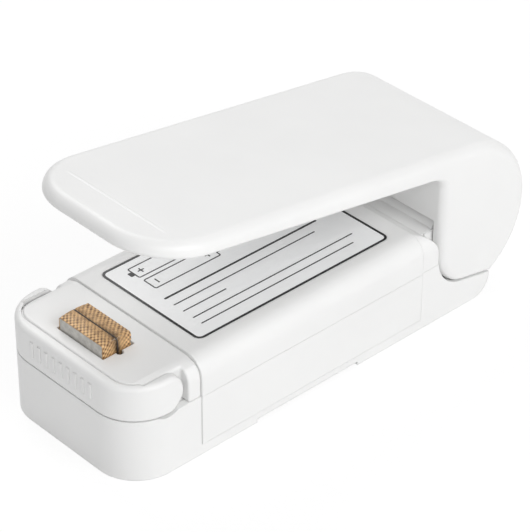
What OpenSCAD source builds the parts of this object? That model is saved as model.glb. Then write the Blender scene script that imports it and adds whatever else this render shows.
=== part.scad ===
// Hand-held bag sealer: a battery body, a sprung lever, a hot block and a swinging guard.
// Units are millimetres. Y runs from the heater end to the hinge, Z is up.

/* [Body] */
// Width over the middle band
body_w = 40; // [38:0.5:46]
// Height of the middle band's top face
body_h = 21.8; // [21:0.1:25]
// Depth of the seam between the housings below the band's top face
seam_drop = 8.05; // [7.6:0.05:8.6]
// Wall of both housings
wall = 1.6; // [1.2:0.1:2]
// Length of the heater deck, from the front face to the middle band
deck_len = 17.3; // [16.8:0.1:20]
// How far the middle band stands proud of the ends
band_step = 0.3; // [0.2:0.05:0.6]
// Corner radius of the front, seen from above
corner_r = 9.2; // [7:0.1:10]
// Radius of the long top edges
edge_r = 4.1; // [3:0.1:5]
// Rounding of the top where the body ends in front of the hinge
top_end_r = 5.3; // [4:0.1:6]
// Rounding under the tail of the base
tail_r = 4.6; // [3:0.1:5]
// Height of the rim that the base stands on
rim_h = 0.8; // [0.5:0.1:1.2]
// Thickness of the floor
floor_t = 1.6; // [1.4:0.1:2]
// Distance of the rim's finger cut from the front face
rim_cut_y = 31.5; // [26:0.5:36]
// Length of the finger cut in the rim
rim_cut_len = 27; // [15:1:34]
// Length of the plain end behind the middle band
rear_len = 4.7; // [4.4:0.1:6]

/* [Label] */
// Label length along the body
label_len = 50.4; // [40:0.2:54]
// Label width across the body
label_w = 29; // [22:0.2:30]
// Label corner radius
label_r = 1.5; // [0.5:0.1:3]
// Label thickness
label_t = 0.15; // [0.1:0.05:0.3]

/* [Cells] */
// Cell diameter
cell_d = 14.5; // [13.5:0.1:14.8]
// Cell length over the nub
cell_len = 50.5; // [44:0.1:55]
// Diameter of the positive nub
nub_d = 5.5; // [4.5:0.1:6]
// Length of the positive nub
nub_len = 1; // [0.8:0.1:1.4]
// Length left for a contact spring
spring_room = 4.8; // [4:0.1:6]
// Clearance round each cell in the tray
cell_gap = 0.3; // [0.2:0.05:0.4]
// Wall of the battery tray
tray_wall = 0.9; // [0.8:0.1:1.2]
// Thickness of the contact plates
plate_t = 0.4; // [0.3:0.05:0.5]

/* [Lever] */
// Rise of the open lever towards the front, degrees
lever_tilt = 9.63; // [8:0.1:12]
// Turn from open to closed, degrees
lever_travel = 14.35; // [13:0.05:15]
// Height of the lever's lower face over the hinge axis
lever_rise = 15.7; // [15:0.1:17]
// Setback of the lever's front end from the body's front
lever_setback = 2.6; // [2:0.1:5]
// Lever thickness at the front end
lever_t_front = 3; // [2.9:0.1:3.6]
// Lever thickness at the thumb crease
lever_t_crease = 3.3; // [3.1:0.1:4]
// Distance of the thumb crease from the front end
crease_len = 7.8; // [6:0.1:12]
// Front corner radius of the lever, seen from above
lever_corner_r = 13; // [8:0.1:14]
// Radius of the lever's curved back
back_r = 17.8; // [17.6:0.1:18.6]
// Rounding of the lever's long edges
lever_edge_r = 2.2; // [1:0.1:2.4]
// Shell thickness of the lever
lever_wall = 1.6; // [1.2:0.1:2]
// Thickness of the lever's side ears
ear_t = 2.6; // [2.4:0.1:3]
// Radius under the front of each ear
ear_r = 8; // [6:0.1:9]
// Fillet between the lever's lower face and the ears
ear_fillet = 4; // [2:0.1:5]
// Thickness of the underplate
under_t = 1; // [0.8:0.1:1.2]
// Length of the press pad along the body
pad_len = 9; // [8:0.1:10]
// Width of the press pad
pad_w = 22; // [16:0.5:26]

/* [Hinge] */
// Distance from the end of the body to the hinge axis
hinge_back = 7.2; // [7:0.1:8]
// Depth of the hinge axis below the body's top
hinge_drop = 4.8; // [4.6:0.1:5.2]
// Length of the tail behind the hinge axis
tail_len = 8.4; // [7:0.1:8.6]
// Hinge pin diameter
pin_d = 3; // [2.4:0.1:3.2]
// Radius of the lugs around the pin
lug_r = 4.5; // [3.6:0.1:4.6]
// Width of each lug
lug_w = 6; // [5:0.1:7]

/* [Guard] */
// Distance of the guard's pivot from the front face
guard_y = 9.4; // [9.3:0.05:9.6]
// Depth of the guard's pivot below the deck's top
guard_drop = 3.9; // [3.8:0.05:4.1]
// Radius of the guard's round ears
guard_ear_r = 4.1; // [3.8:0.05:4.2]
// Thickness of the guard's arms
guard_t = 2; // [1.6:0.1:2.2]
// Diameter of the guard's stub pins
stub_d = 3; // [2.4:0.1:3.4]
// Number of grip ribs on the guard's front
rib_count = 9; // [3:1:15]
// Height by which the grip ribs stand proud
rib_h = 0.25; // [0.15:0.05:0.4]

/* [Heater] */
// Length of the hot block across the body
block_w = 12.3; // [10:0.1:13]
// Width of the hot block along the body
block_len = 7; // [6:0.1:7.2]
// Height of the block's edges over the deck
block_proud = 2.4; // [2:0.1:2.6]
// Crown of the block's top face
block_crown = 0.35; // [0.2:0.05:0.5]
// Thickness of the release cloth
cloth_t = 0.25; // [0.15:0.05:0.3]
// Heating wire diameter
wire_d = 0.7; // [0.5:0.05:0.9]
// Travel of the heater when pressed
press_travel = 1.5; // [1:0.1:1.8]

/* [Hardware] */
// Screw shank diameter
screw_d = 1.7; // [1.5:0.1:2]
// Screw head diameter
screw_head_d = 3.4; // [3:0.1:3.8]
// Screw head height
screw_head_h = 1.2; // [1:0.1:1.4]
// Lead diameter
lead_d = 1.1; // [0.9:0.1:1.3]

/* [Fits] */
// Gap between pieces that pass each other
gap = 0.4; // [0.35:0.05:0.5]
// Radial clearance of a turning pin
run_fit = 0.05; // [0.03:0.01:0.09]
// Gap between fixed pieces
seat = 0.1; // [0.05:0.01:0.15]

/* [Hidden] */
$fn = 48;
eps = 0.01;
nip = 0.03;
big = 400;

// Across the body
band_hw = body_w / 2;
base_hw = band_hw - band_step;
inner_hw = base_hw - wall;
arm_in = base_hw - guard_t;
deck_hw = arm_in - gap + seat;
ear_in = band_hw - ear_t;
lug_out = ear_in - gap;
cell_x = (cell_d + cell_gap) / 2;
tray_in_hw = cell_x + cell_d / 2 + cell_gap;
tray_hw = tray_in_hw + tray_wall;
door_hw = tray_in_hw - gap;

// Along the body, from the front face
tray_in_len = cell_len + spring_room + 2 * plate_t;
tray_y0 = deck_len + gap;
tray_in_y0 = tray_y0 + tray_wall;
tray_in_y1 = tray_in_y0 + tray_in_len;
tray_y1 = tray_in_y1 + tray_wall;
band_rear = tray_y1 + gap;
body_end = band_rear + rear_len;
pivot_y = body_end + hinge_back;
base_len = pivot_y + tail_len;
ear_front = body_end + gap + seat;
label_y = (deck_len + band_rear) / 2;

// Heights
seam_z = body_h - seam_drop;
floor_top = rim_h + floor_t;
end_h = body_h - band_step;
pivot_z = body_h - hinge_drop;
deck_t = 1.4;
deck_under = end_h - deck_t;
cell_z = floor_top + cell_gap + cell_d / 2;
tray_ceiling = cell_z + cell_d / 2 + cell_gap;
band_low = floor_top + seat;
deck_low = seam_z - wall;

// Lever, in its own frame: u along it, w over the hinge axis
back_u = -0.25;
back_w = 3;
crest_drop = 0.08;
crest_w = back_w + back_r - crest_drop;
back_y = pivot_y + back_u * cos(lever_tilt) + back_w * sin(lever_tilt);
back_z = pivot_z - back_u * sin(lever_tilt) + back_w * cos(lever_tilt);
lever_u0 = -(pivot_y - lever_setback);
ear_slope = 11.1;
ear_turn_drop = 2.2;
ear_cy = ear_front + ear_r;
ear_cz = pivot_z - ear_turn_drop;
pin_grip = 0.6 * ear_t;
overall_len = back_y + back_r;
centre_y = (overall_len - rib_h) / 2;

// Guard
guard_z = end_h - guard_drop;
guard_low = seam_z + gap - seat;
column_y = guard_y + guard_ear_r + 2 * gap;
guard_top_r = 1.2;
deck_front = 2.35;
deck_corner_r = 7;

// Heater and switch
block_setback = 2.65;
heater_y = deck_front + block_setback + block_len / 2;
block_top = end_h + block_proud;
cloth_top = block_top + block_crown + cloth_t;
flange_t = 1.8;
flange_top = deck_under - gap + seat;
flange_low = flange_top - flange_t;
flange_side = 2.2;
flange_w = block_w + 2 * flange_side;
flange_len = 2 * (heater_y - deck_front - deck_t - gap);
window_gap = gap + cloth_t;
spring_x = block_w / 2 + seat;
post_r = 2.3;
heater_spring_len = 7.2;
post_top = flange_low - heater_spring_len;
washer_t = 0.3;
contact_w = 6;
contact_len = 3;
moving_low = flange_low - plate_t;
fixed_top = moving_low - press_travel - seat;
wire_bend = 0.4;
wire_sides = 8;
heater_wire_x = block_w / 2 + cloth_t + wire_d / 2 + seat + wire_bend / 2;

// Screws: front pair in the deck, rear pair in the lugs
boss_wall = 0.9;
boss_r = screw_head_d / 2 + boss_wall;
screw_front = [deck_hw - deck_t - boss_r - gap, deck_len - boss_r - 2 * gap];
screw_rear = [lug_out - lug_w / 2, body_end + boss_r + gap];
screw_seat = floor_top + gap;
screw_top = pivot_z - pin_d / 2 - run_fit - gap;
slot_w = 0.5;
slot_len = 0.6 * screw_head_d;

// Battery door
door_t = floor_t - gap / 2;
door_pin_d = 1;
knuckle_r = 1.2;
door_axis_y = tray_y0 - knuckle_r - gap;
door_axis_z = rim_h + knuckle_r;
door_y1 = tray_in_y1 - gap;
door_open_y0 = door_axis_y - knuckle_r - gap;
door_open_y1 = door_y1 + gap;
door_lug_w = 4;
knuckle_len = 2 * (screw_front[0] - door_lug_w - boss_wall);
door_pin_half = knuckle_len / 2 + gap + 0.6 * door_lug_w;

// Leads and springs
lead_drop = 6;
lead_z = seam_z - lead_drop;
lead_bend = 1;
coil_sides = 6;
rings_per_turn = 8;

// Drawing helpers
module from_front() {
    translate([0, -centre_y, 0]) children();
}

module along_x(w) {
    rotate([90, 0, 90]) linear_extrude(w, center = true) children();
}

module along_y(y0, y1) {
    translate([0, y1, 0]) rotate([90, 0, 0]) linear_extrude(y1 - y0) children();
}

module bar_x(d, x0, x1, y, z) {
    translate([x0, y, z]) rotate([0, 90, 0]) cylinder(h = x1 - x0, d = d);
}

module box(x0, x1, y0, y1, z0, z1) {
    translate([x0, y0, z0]) cube([x1 - x0, y1 - y0, z1 - z0]);
}

// Rectangle from the centre line out to half_w, its two corners at a rounded by r
module round_front(half_w, a, b, r) {
    intersection() {
        translate([-half_w, a]) square([2 * half_w, b - a]);
        union() {
            translate([-half_w, a + r]) square([2 * half_w, b - a]);
            translate([r - half_w, a]) square([2 * (half_w - r), b - a]);
            for (s = [-1, 1]) translate([s * (half_w - r), a + r]) circle(r);
        }
    }
}

// Cross-section with its two top corners rounded by r
module arch(half_w, z0, z1, r) {
    mirror([0, 1]) round_front(half_w, -z1, -z0, r);
}

module round_rect(w, l, r) {
    square([w - 2 * r, l], center = true);
    square([w, l - 2 * r], center = true);
    for (x = [-1, 1], y = [-1, 1]) translate([x * (w / 2 - r), y * (l / 2 - r)]) circle(r);
}

// Tube of n sides swept along points that never run along ref
function unit(v) = v / norm(v);
function tangent(p, i) = unit(p[min(i + 1, len(p) - 1)] - p[max(i - 1, 0)]);
function ring(p, i, r, n, ref) =
    let (t = tangent(p, i), a = unit(cross(cross(t, ref), t)), b = cross(t, a))
    [for (k = [0 : n - 1]) p[i] + r * (cos(360 * k / n) * a + sin(360 * k / n) * b)];

module tube(points, d, ref, n = coil_sides) {
    m = len(points);
    verts = [for (i = [0 : m - 1]) each ring(points, i, d / 2, n, ref)];
    sides = [for (i = [0 : m - 2], k = [0 : n - 1])
        let (a = i * n + k, b = i * n + (k + 1) % n)
        each [[a, a + n, b], [b, a + n, b + n]]];
    caps = [for (k = [1 : n - 2]) each [[0, k, k + 1], [(m - 1) * n, (m - 1) * n + k + 1, (m - 1) * n + k]]];
    polyhedron(verts, concat(sides, caps));
}

// Upright coil from z0 to z1, its radius going from r0 to r1
function coil(r0, r1, z0, z1, turns) =
    [for (i = [0 : turns * rings_per_turn])
        let (f = i / (turns * rings_per_turn), r = r0 + (r1 - r0) * f)
        [r * cos(360 * turns * f), r * sin(360 * turns * f), z0 + (z1 - z0) * f]];

// Least clear distance of a tube to itself, between points half a turn or more apart
function least_gap(p, d) =
    min([for (i = [0 : len(p) - 1], j = [i + rings_per_turn / 2 : 1 : len(p) - 1]) norm(p[i] - p[j])]) - d;

// Lever frame and the ears' side view
module lever_frame() {
    translate([0, pivot_y, pivot_z]) rotate([-lever_tilt, 0, 0]) children();
}

module closed_frame() {
    translate([0, pivot_y, pivot_z]) rotate([-lever_travel, 0, 0]) translate([0, -pivot_y, -pivot_z])
        children();
}

// Side view of an ear, grown by g; its straight edges start just inside the round corner
module ear_side(g = 0) {
    intersection() {
        translate([back_y, back_z]) circle(back_r + g, $fn = 96);
        union() {
            translate([ear_cy, ear_cz]) circle(ear_r + g);
            translate([ear_cy, ear_cz]) rotate(-ear_slope) translate([-gap, nip - ear_r - g]) square(big);
            translate([ear_front + nip - g, ear_cz - gap]) square(big);
        }
    }
}

// Pair of upright cylinders, left and right
module column_pair(spot, r, z0, z1) {
    for (s = [-1, 1]) translate([s * spot[0], spot[1], z0]) cylinder(h = z1 - z0, r = r);
}

// Body
module base_side() {
    square([base_len - tail_r, seam_z]);
    translate([0, tail_r]) square([base_len, seam_z]);
    translate([base_len - tail_r, tail_r]) circle(tail_r);
}

module base_outer() {
    intersection() {
        linear_extrude(seam_z) round_front(base_hw, 0, base_len, corner_r);
        along_x(big) base_side();
    }
    box(-band_hw, band_hw, deck_len, band_rear, band_low, seam_z);
}

module base_inner() {
    translate([0, 0, floor_top]) linear_extrude(seam_z)
        round_front(inner_hw, wall, body_end - wall, corner_r - wall);
}

// Hollow under the floor, inside the rim
module under_hollow() {
    translate([0, 0, -eps]) linear_extrude(rim_h + eps)
        round_front(inner_hw, wall, base_len - tail_r, corner_r - wall);
    box(-big, big, rim_cut_y, rim_cut_y + rim_cut_len, -eps, rim_h);
}

module lower_housing() {
    color("whitesmoke") from_front() difference() {
        union() {
            difference() {
                base_outer();
                base_inner();
                under_hollow();
                along_x(big) ear_side(gap);
                box(-lug_out - gap, lug_out + gap, body_end, big, floor_top + bay_rise, big);
                box(-big, big, body_end, big, ear_cz, big);
            }
            column_pair(screw_front, boss_r, rim_h, deck_low);
            column_pair(screw_rear, boss_r, rim_h, seam_z);
            column_pair([spring_x, heater_y], post_r, rim_h, post_top);
            switch_plate(rim_h, fixed_top - plate_t);
            door_lugs();
        }
        for (spot = [screw_front, screw_rear]) {
            column_pair(spot, screw_d / 2 + seat, -eps, seam_z + eps);
            column_pair(spot, screw_head_d / 2 + seat, -eps, screw_seat);
        }
        box(-door_hw - gap, door_hw + gap, tray_y0 - gap, door_open_y1, -eps, floor_top + eps);
        box(-knuckle_len / 2 - gap, knuckle_len / 2 + gap, door_open_y0, tray_y0 + eps, -eps, big);
        bar_x(door_pin_d + 2 * run_fit, -door_pin_half - seat, door_pin_half + seat,
            door_axis_y, door_axis_z);
        guard_ear_room();
    }
}

// Footprint of the switch contacts
module switch_plate(z0, z1) {
    box(-contact_w / 2, contact_w / 2, heater_y - contact_len / 2, heater_y + contact_len / 2, z0, z1);
}

// Bearings beside the door's knuckle
module door_lugs() {
    for (s = [0, 1]) mirror([s, 0, 0]) box(knuckle_len / 2 + gap, knuckle_len / 2 + gap + door_lug_w,
        door_axis_y - knuckle_r, tray_y0 - gap, rim_h, door_axis_z + knuckle_r);
}

// Room beside the deck for the guard's round ears
module guard_ear_room() {
    for (s = [0, 1]) mirror([s, 0, 0])
        bar_x(2 * (guard_ear_r + gap), arm_in - gap + seat, band_hw, guard_y, guard_z);
}

// Side view of the body's rounded rear end, shrunk by inset
module upper_end_side(inset) {
    r = top_end_r - inset;
    square([body_end - top_end_r, end_h - inset]);
    square([body_end - inset, end_h - top_end_r]);
    translate([body_end - top_end_r, end_h - top_end_r]) circle(r);
}

lug_shoulder = 1;
bay_rise = 2;

module lug_side() {
    intersection() {
        translate([body_end - wall, seam_z]) square(big);
        union() {
            translate([pivot_y, pivot_z]) circle(lug_r);
            square([pivot_y, pivot_z + lug_r - lug_shoulder]);
        }
    }
}

module upper_housing() {
    color("whitesmoke") from_front() difference() {
        union() {
            difference() {
                intersection() {
                    union() {
                        along_y(deck_len, band_rear) arch(band_hw, seam_z, body_h, edge_r);
                        along_y(deck_len, body_end) arch(base_hw, seam_z, end_h, edge_r - band_step);
                    }
                    union() {
                        box(-big, big, 0, band_rear - eps, 0, big);
                        along_x(big) upper_end_side(0);
                    }
                }
                intersection() {
                    along_y(deck_len - eps, body_end)
                        arch(inner_hw, seam_z - eps, end_h - wall, edge_r - band_step - wall);
                    along_x(big) upper_end_side(wall);
                }
            }
            for (s = [-1, 1]) translate([s * (lug_out - lug_w / 2), 0, 0]) along_x(lug_w) lug_side();
        }
        bar_x(pin_d + 2 * run_fit, -big, big, pivot_y, pivot_z);
        column_pair(screw_rear, screw_d / 2 + run_fit, seam_z - eps, screw_top);
        translate([0, label_y, body_h - label_t]) linear_extrude(big)
            round_rect(label_w + 2 * seat, label_len + 2 * seat, label_r + seat);
    }
}

module deck_plan(inset) {
    round_front(deck_hw - inset, deck_front + inset, deck_len, deck_corner_r - inset);
}

module heater_deck() {
    color("white") from_front() difference() {
        union() {
            intersection() {
                union() {
                    translate([0, 0, seam_z]) linear_extrude(end_h - seam_z) deck_plan(0);
                    along_y(column_y, deck_len) arch(base_hw, seam_z, end_h, edge_r - band_step);
                }
                along_y(0, deck_len) arch(base_hw, seam_z, end_h, edge_r - band_step);
            }
            translate([0, 0, deck_low]) linear_extrude(wall)
                round_front(inner_hw - seat, wall + seat, deck_len, corner_r - wall - seat);
        }
        difference() {
            union() {
                translate([0, 0, seam_z - eps]) linear_extrude(deck_under - seam_z + eps) deck_plan(deck_t);
                box(deck_t - deck_hw, deck_hw - deck_t, column_y, deck_len + eps, seam_z, deck_under);
                translate([0, 0, deck_low - eps]) linear_extrude(wall + 2 * eps) deck_plan(deck_t);
            }
            column_pair(screw_front, boss_r, deck_low, big);
        }
        translate([0, heater_y, deck_low]) linear_extrude(big)
            square([block_w + 2 * window_gap, block_len + 2 * (gap - seat)], center = true);
        column_pair([heater_wire_x, heater_y], wire_d / 2 + gap, deck_under - eps, big);
        bar_x(stub_d + 2 * run_fit, -big, big, guard_y, guard_z);
        guard_ear_room();
        column_pair(screw_front, screw_d / 2 + run_fit, deck_low - eps, screw_top);
    }
}

module rating_label() {
    color("gainsboro") from_front() translate([0, label_y, body_h - label_t]) linear_extrude(label_t)
        round_rect(label_w, label_len, label_r);
}

module battery_tray() {
    color("dimgray") from_front() difference() {
        box(-tray_hw, tray_hw, tray_y0, tray_y1, floor_top, tray_ceiling + tray_wall);
        box(-tray_in_hw, tray_in_hw, tray_in_y0, tray_in_y1, floor_top - eps, tray_ceiling);
        for (s = [-1, 1]) translate([s * cell_x, 0, 0])
            box(-tab_w / 2 - seat, tab_w / 2 + seat, 0, tray_in_y0 + eps,
                tab_z - seat, tab_z + plate_t + seat);
    }
}

module housing_screws() {
    color("silver") from_front() {
        for (s = [-1, 1]) {
            screw(s * screw_front[0], screw_front[1]);
            screw(s * screw_rear[0], screw_rear[1]);
        }
    }
}

module screw(x, y) {
    translate([x, y, 0]) difference() {
        union() {
            translate([0, 0, screw_seat - screw_head_h]) cylinder(h = screw_head_h, d = screw_head_d);
            translate([0, 0, screw_seat - eps]) cylinder(h = screw_top - screw_seat - seat, d = screw_d);
        }
        for (a = [0, 90]) translate([0, 0, screw_seat - screw_head_h]) rotate(a)
            cube([slot_len, slot_w, screw_head_h], center = true);
    }
}

module hinge_pin() {
    color("silver") from_front() bar_x(pin_d, -ear_in - pin_grip, ear_in + pin_grip, pivot_y, pivot_z);
}

// Torsion spring on the hinge pin: the lower leg rests on the body, the upper one holds the lever open
spring_wire = 0.8;
spring_turns = 5;
spring_pitch = 1.3;
spring_r = (pin_d + spring_wire) / 2 + gap + seat;
spring_half = spring_turns * spring_pitch / 2;
leg_drop = 1.2;
leg_reach = 1.4;
leg_clear = 0.9;
leg_y = -spring_r - leg_reach;
leg_top = lever_rise * cos(lever_tilt) - leg_clear;
spring_path = concat(
    [[-spring_half, gap + spring_wire / 2 - hinge_back, -spring_r - leg_drop]],
    [for (i = [0 : spring_turns * rings_per_turn])
        let (a = 270 - 360 * i / rings_per_turn)
        [spring_pitch * (i / rings_per_turn) - spring_half, spring_r * cos(a), spring_r * sin(a)]],
    [[spring_half, leg_y, gap - spring_r], [spring_half, leg_y, leg_top]]
);

module lever_spring() {
    color("silver") from_front() translate([0, pivot_y, pivot_z]) tube(spring_path, spring_wire, [1, 0, 0]);
}

// Contacts at the cells' ends
contact_hw = 5;
contact_z0 = cell_z - contact_hw;
tab_w = 3;
tab_rise = 3;
tab_reach = 2;
tab_z = cell_z + tab_rise;
tab_y = tray_y0 - tab_reach;

module front_contact(x) {
    translate([x, 0, 0]) {
        box(-contact_hw, contact_hw, tray_in_y0, tray_in_y0 + plate_t, contact_z0, cell_z + contact_hw);
        box(-tab_w / 2, tab_w / 2, tab_y, tray_in_y0 + plate_t, tab_z, tab_z + plate_t);
    }
}

module left_contact() {
    color("goldenrod") from_front() front_contact(-cell_x);
}

module right_contact() {
    color("goldenrod") from_front() front_contact(cell_x);
}

module bridge_contact() {
    color("goldenrod") from_front() box(-cell_x - contact_hw, cell_x + contact_hw,
        tray_in_y1 - plate_t, tray_in_y1, contact_z0, cell_z + contact_hw);
}

coil_wire = 0.6;
coil_end = coil_wire / 2 + seat / 2;
cell_coil_r = [4, 2.2];
cell_coil_turns = 3;

cell_coil = coil(cell_coil_r[0], cell_coil_r[1], coil_end, spring_room - coil_end, cell_coil_turns);

module cell_spring() {
    tube(cell_coil, coil_wire, [0, 0, 1]);
}

module contact_springs() {
    color("silver") from_front() {
        translate([cell_x, tray_in_y0 + plate_t, cell_z]) rotate([-90, 0, 0]) cell_spring();
        translate([-cell_x, tray_in_y1 - plate_t, cell_z]) rotate([90, 0, 0]) cell_spring();
    }
}

// Lead from a contact's tab, down and forward along the floor, then up to its end
module lead(x, end_x, end_y, end_z) {
    y = tab_y + lead_d / 2;
    tube([
        [x, y, tab_z - seat],
        [x, y, lead_z + lead_bend],
        [x, y - lead_bend, lead_z],
        [end_x, end_y + lead_bend, lead_z],
        [end_x, end_y, lead_z + lead_bend],
        [end_x, end_y, end_z]
    ], lead_d, [1, 0, 0]);
}

module positive_lead() {
    color("firebrick") from_front()
        lead(-cell_x, -contact_w / 4, heater_y + contact_len / 2 + lead_d / 2 + seat, fixed_top);
}

module negative_lead() {
    color("black") from_front()
        lead(cell_x, spring_x, heater_y + post_r + lead_d / 2 + seat, post_top + washer_t);
}

module switch_contact() {
    color("goldenrod") from_front() switch_plate(fixed_top - plate_t, fixed_top);
}

module spring_terminals() {
    color("goldenrod") from_front() column_pair([spring_x, heater_y], post_r, post_top, post_top + washer_t);
}

heater_coil_r = 1.8;
heater_coil_turns = 4;
heater_coil_z = [post_top + washer_t + coil_end, flange_low - coil_end];
heater_coil = coil(heater_coil_r, heater_coil_r, heater_coil_z[0], heater_coil_z[1], heater_coil_turns);

module heater_springs() {
    color("silver") from_front() for (s = [-1, 1]) translate([s * spring_x, heater_y, 0])
        tube(heater_coil, coil_wire, [0, 0, 1]);
}

echo(least_gaps_mm = [
    least_gap(spring_path, spring_wire),
    least_gap(cell_coil, coil_wire),
    least_gap(heater_coil, coil_wire)
]);

module door_pin() {
    color("silver") from_front()
        bar_x(door_pin_d, -door_pin_half, door_pin_half, door_axis_y, door_axis_z);
}

// Lever
module plate_side() {
    polygon([
        [lever_u0, lever_rise],
        [lever_u0, lever_rise + lever_t_front],
        [lever_u0 + crease_len, lever_rise + lever_t_crease],
        [back_u, crest_w],
        [back_u, lever_rise]
    ]);
}

module lever_plate() {
    lever_frame() intersection() {
        along_x(big) plate_side();
        linear_extrude(big) round_front(band_hw + nip, lever_u0, big, lever_corner_r + nip);
        rotate([lever_slope, 0, 0]) along_y(-big, big) arch(band_hw - nip, 0, lever_top_w, lever_edge_r);
    }
}

// Slope of the top face against the lower one, behind the crease
lever_slope = atan((crest_w - lever_rise - lever_t_crease) / (back_u - lever_u0 - crease_len));
lever_top_w = crest_w * cos(lever_slope) - back_u * sin(lever_slope);

// Round back with its two outer edges rounded
module back_puck() {
    translate([0, back_y, back_z]) rotate([0, 90, 0]) rotate_extrude($fn = 96) intersection() {
        translate([0, -band_hw]) square([back_r, 2 * band_hw]);
        union() {
            translate([0, -band_hw]) square([back_r - lever_edge_r, 2 * band_hw]);
            translate([0, lever_edge_r - band_hw]) square([back_r, 2 * (band_hw - lever_edge_r)]);
            for (s = [-1, 1]) translate([back_r - lever_edge_r, s * (band_hw - lever_edge_r)])
                circle(lever_edge_r);
        }
    }
}

curtain_gap = 1.5;
curtain_low = pivot_z + lug_r + curtain_gap;

module lever_shell() {
    color("white") from_front() difference() {
        union() {
            lever_plate();
            intersection() {
                back_puck();
                along_x(2 * band_hw) ear_side();
            }
            along_x(2 * band_hw) ear_corner();
        }
        // room between the ears, under the curved back and behind the wall that hides the hinge
        intersection() {
            union() {
                box(-ear_in, ear_in, ear_front + lever_wall, big, -big, big);
                box(-ear_in, ear_in, 0, big, -big, curtain_low);
            }
            translate([0, back_y, back_z]) rotate([0, 90, 0])
                cylinder(h = big, r = back_r - lever_wall - gap, center = true);
        }
        // room for the underplate
        lever_frame() intersection() {
            box(lever_wall - band_hw, band_hw - lever_wall, lever_u0 + lever_wall, under_u1 + seat,
                lever_rise - eps, lever_rise + under_t + seat);
            linear_extrude(big)
                round_front(band_hw - lever_wall, lever_u0 + lever_wall, 0, lever_corner_r - lever_wall);
        }
        bar_x(pin_d + 2 * run_fit, -ear_in - pin_grip - seat, ear_in + pin_grip + seat, pivot_y, pivot_z);
    }
}

// Height of the lever's lower face, open, at a distance y along the body
function lower_face_z(y) = pivot_z + (lever_rise + (pivot_y - y) * sin(lever_tilt)) / cos(lever_tilt);

// Fillet where the lever's lower face meets the ears
module ear_corner() {
    cy = ear_front - ear_fillet;
    cz = lower_face_z(cy) - ear_fillet / cos(lever_tilt);
    top = [cy, cz] + ear_fillet * [sin(lever_tilt), cos(lever_tilt)];
    difference() {
        polygon([[cy, cz], [ear_front, cz], [ear_front + 1, cz], [ear_front + 1, top[1]], top + [0, 1], top]);
        translate([cy, cz]) circle(ear_fillet);
    }
}

under_u1 = ear_front - 2 * ear_fillet - pivot_y;

module under_plan(inset) {
    round_front(band_hw - inset, lever_u0 + inset, under_u1, lever_corner_r - inset);
}

module lever_underplate() {
    color("gainsboro") from_front() lever_frame() translate([0, 0, lever_rise]) linear_extrude(under_t)
        under_plan(lever_wall + seat);
}

pad_gap = gap / 2;
pad_t = 4;

module press_pad() {
    color("firebrick") from_front() difference() {
        closed_frame() box(-pad_w / 2, pad_w / 2, heater_y - pad_len / 2, heater_y + pad_len / 2,
            cloth_top + wire_d / 2 + pad_gap, cloth_top + pad_t);
        lever_frame() box(-big, big, -big, big, lever_rise, big);
    }
}

// Guard
function deck_edge_y(x) =
    let (d = max(0, x - deck_hw + deck_corner_r))
    deck_front + deck_corner_r - sqrt(max(0, deck_corner_r * deck_corner_r - d * d));
function swing_r(x) = norm([guard_y - deck_edge_y(x), end_h - guard_z]) + 2 * seat;
swing_steps = 4;
swing_profile = [for (i = [0 : swing_steps])
    let (x = deck_hw - deck_corner_r + deck_corner_r * sin(90 * i / swing_steps))
    [swing_r(x), x]];

// Space that the deck needs while the guard swings round it
module swing_space() {
    translate([0, guard_y, guard_z]) rotate([0, 90, 0]) rotate_extrude($fn = 96)
        polygon(concat(
            [[0, arm_in], [0, -arm_in]],
            [[swing_profile[swing_steps][0], -arm_in]],
            [for (i = [swing_steps : -1 : 0]) [swing_profile[i][0], -swing_profile[i][1]]],
            swing_profile,
            [[swing_profile[swing_steps][0], arm_in]]
        ));
}

module guard_side() {
    intersection() {
        round_front_side();
        union() {
            square([guard_y, big]);
            translate([guard_y, guard_z]) circle(guard_ear_r);
        }
    }
}

module round_front_side() {
    translate([0, guard_z - guard_ear_r]) square([big, end_h - guard_top_r - guard_z + guard_ear_r]);
    translate([guard_top_r, 0]) square([big, end_h]);
    translate([guard_top_r, end_h - guard_top_r]) circle(guard_top_r);
}

module safety_guard() {
    color("white") from_front() {
        difference() {
            intersection() {
                linear_extrude(big) round_front(base_hw, 0, big, corner_r);
                along_x(big) guard_side();
                along_y(0, column_y) arch(base_hw, 0, end_h, guard_top_r);
            }
            box(-big, big, -eps, guard_y, 0, guard_low);
            swing_space();
            box(-arm_in, arm_in, guard_y - guard_drop - gap, big, 0, big);
        }
        for (s = [0, 1]) mirror([s, 0, 0])
            bar_x(stub_d, deck_hw - deck_t, arm_in + guard_t / 4, guard_y, guard_z);
        guard_ribs();
    }
}

rib_w = 0.8;
rib_margin = 2;
rib_root = 0.2;

module guard_ribs() {
    span = 2 * (base_hw - corner_r - rib_margin);
    for (i = [0 : rib_count - 1]) {
        x = span * (i / (rib_count - 1) - 0.5);
        box(x - rib_w / 2, x + rib_w / 2, -rib_h, rib_root, guard_low + rib_margin, end_h - rib_margin);
    }
}

// Heater
crown_r = (block_len * block_len / 4 + block_crown * block_crown) / (2 * block_crown);

module crowned(grow) {
    intersection() {
        translate([-block_len / 2, flange_top]) square([block_len, big]);
        translate([0, block_top + block_crown - crown_r]) circle(crown_r + grow, $fn = 128);
    }
}

module heater_block() {
    color("lightgray") from_front() difference() {
        translate([0, heater_y, 0]) along_x(block_w) crowned(0);
        wire_groove();
    }
}

module wire_groove() {
    bar_x(wire_d + 2 * seat, -big, big, heater_y, cloth_top);
}

module release_cloth() {
    color("peru") from_front() difference() {
        translate([0, heater_y, 0]) along_x(block_w + 2 * cloth_t) crowned(cloth_t);
        translate([0, heater_y, 0]) along_x(block_w) crowned(0);
        wire_groove();
    }
}

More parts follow.
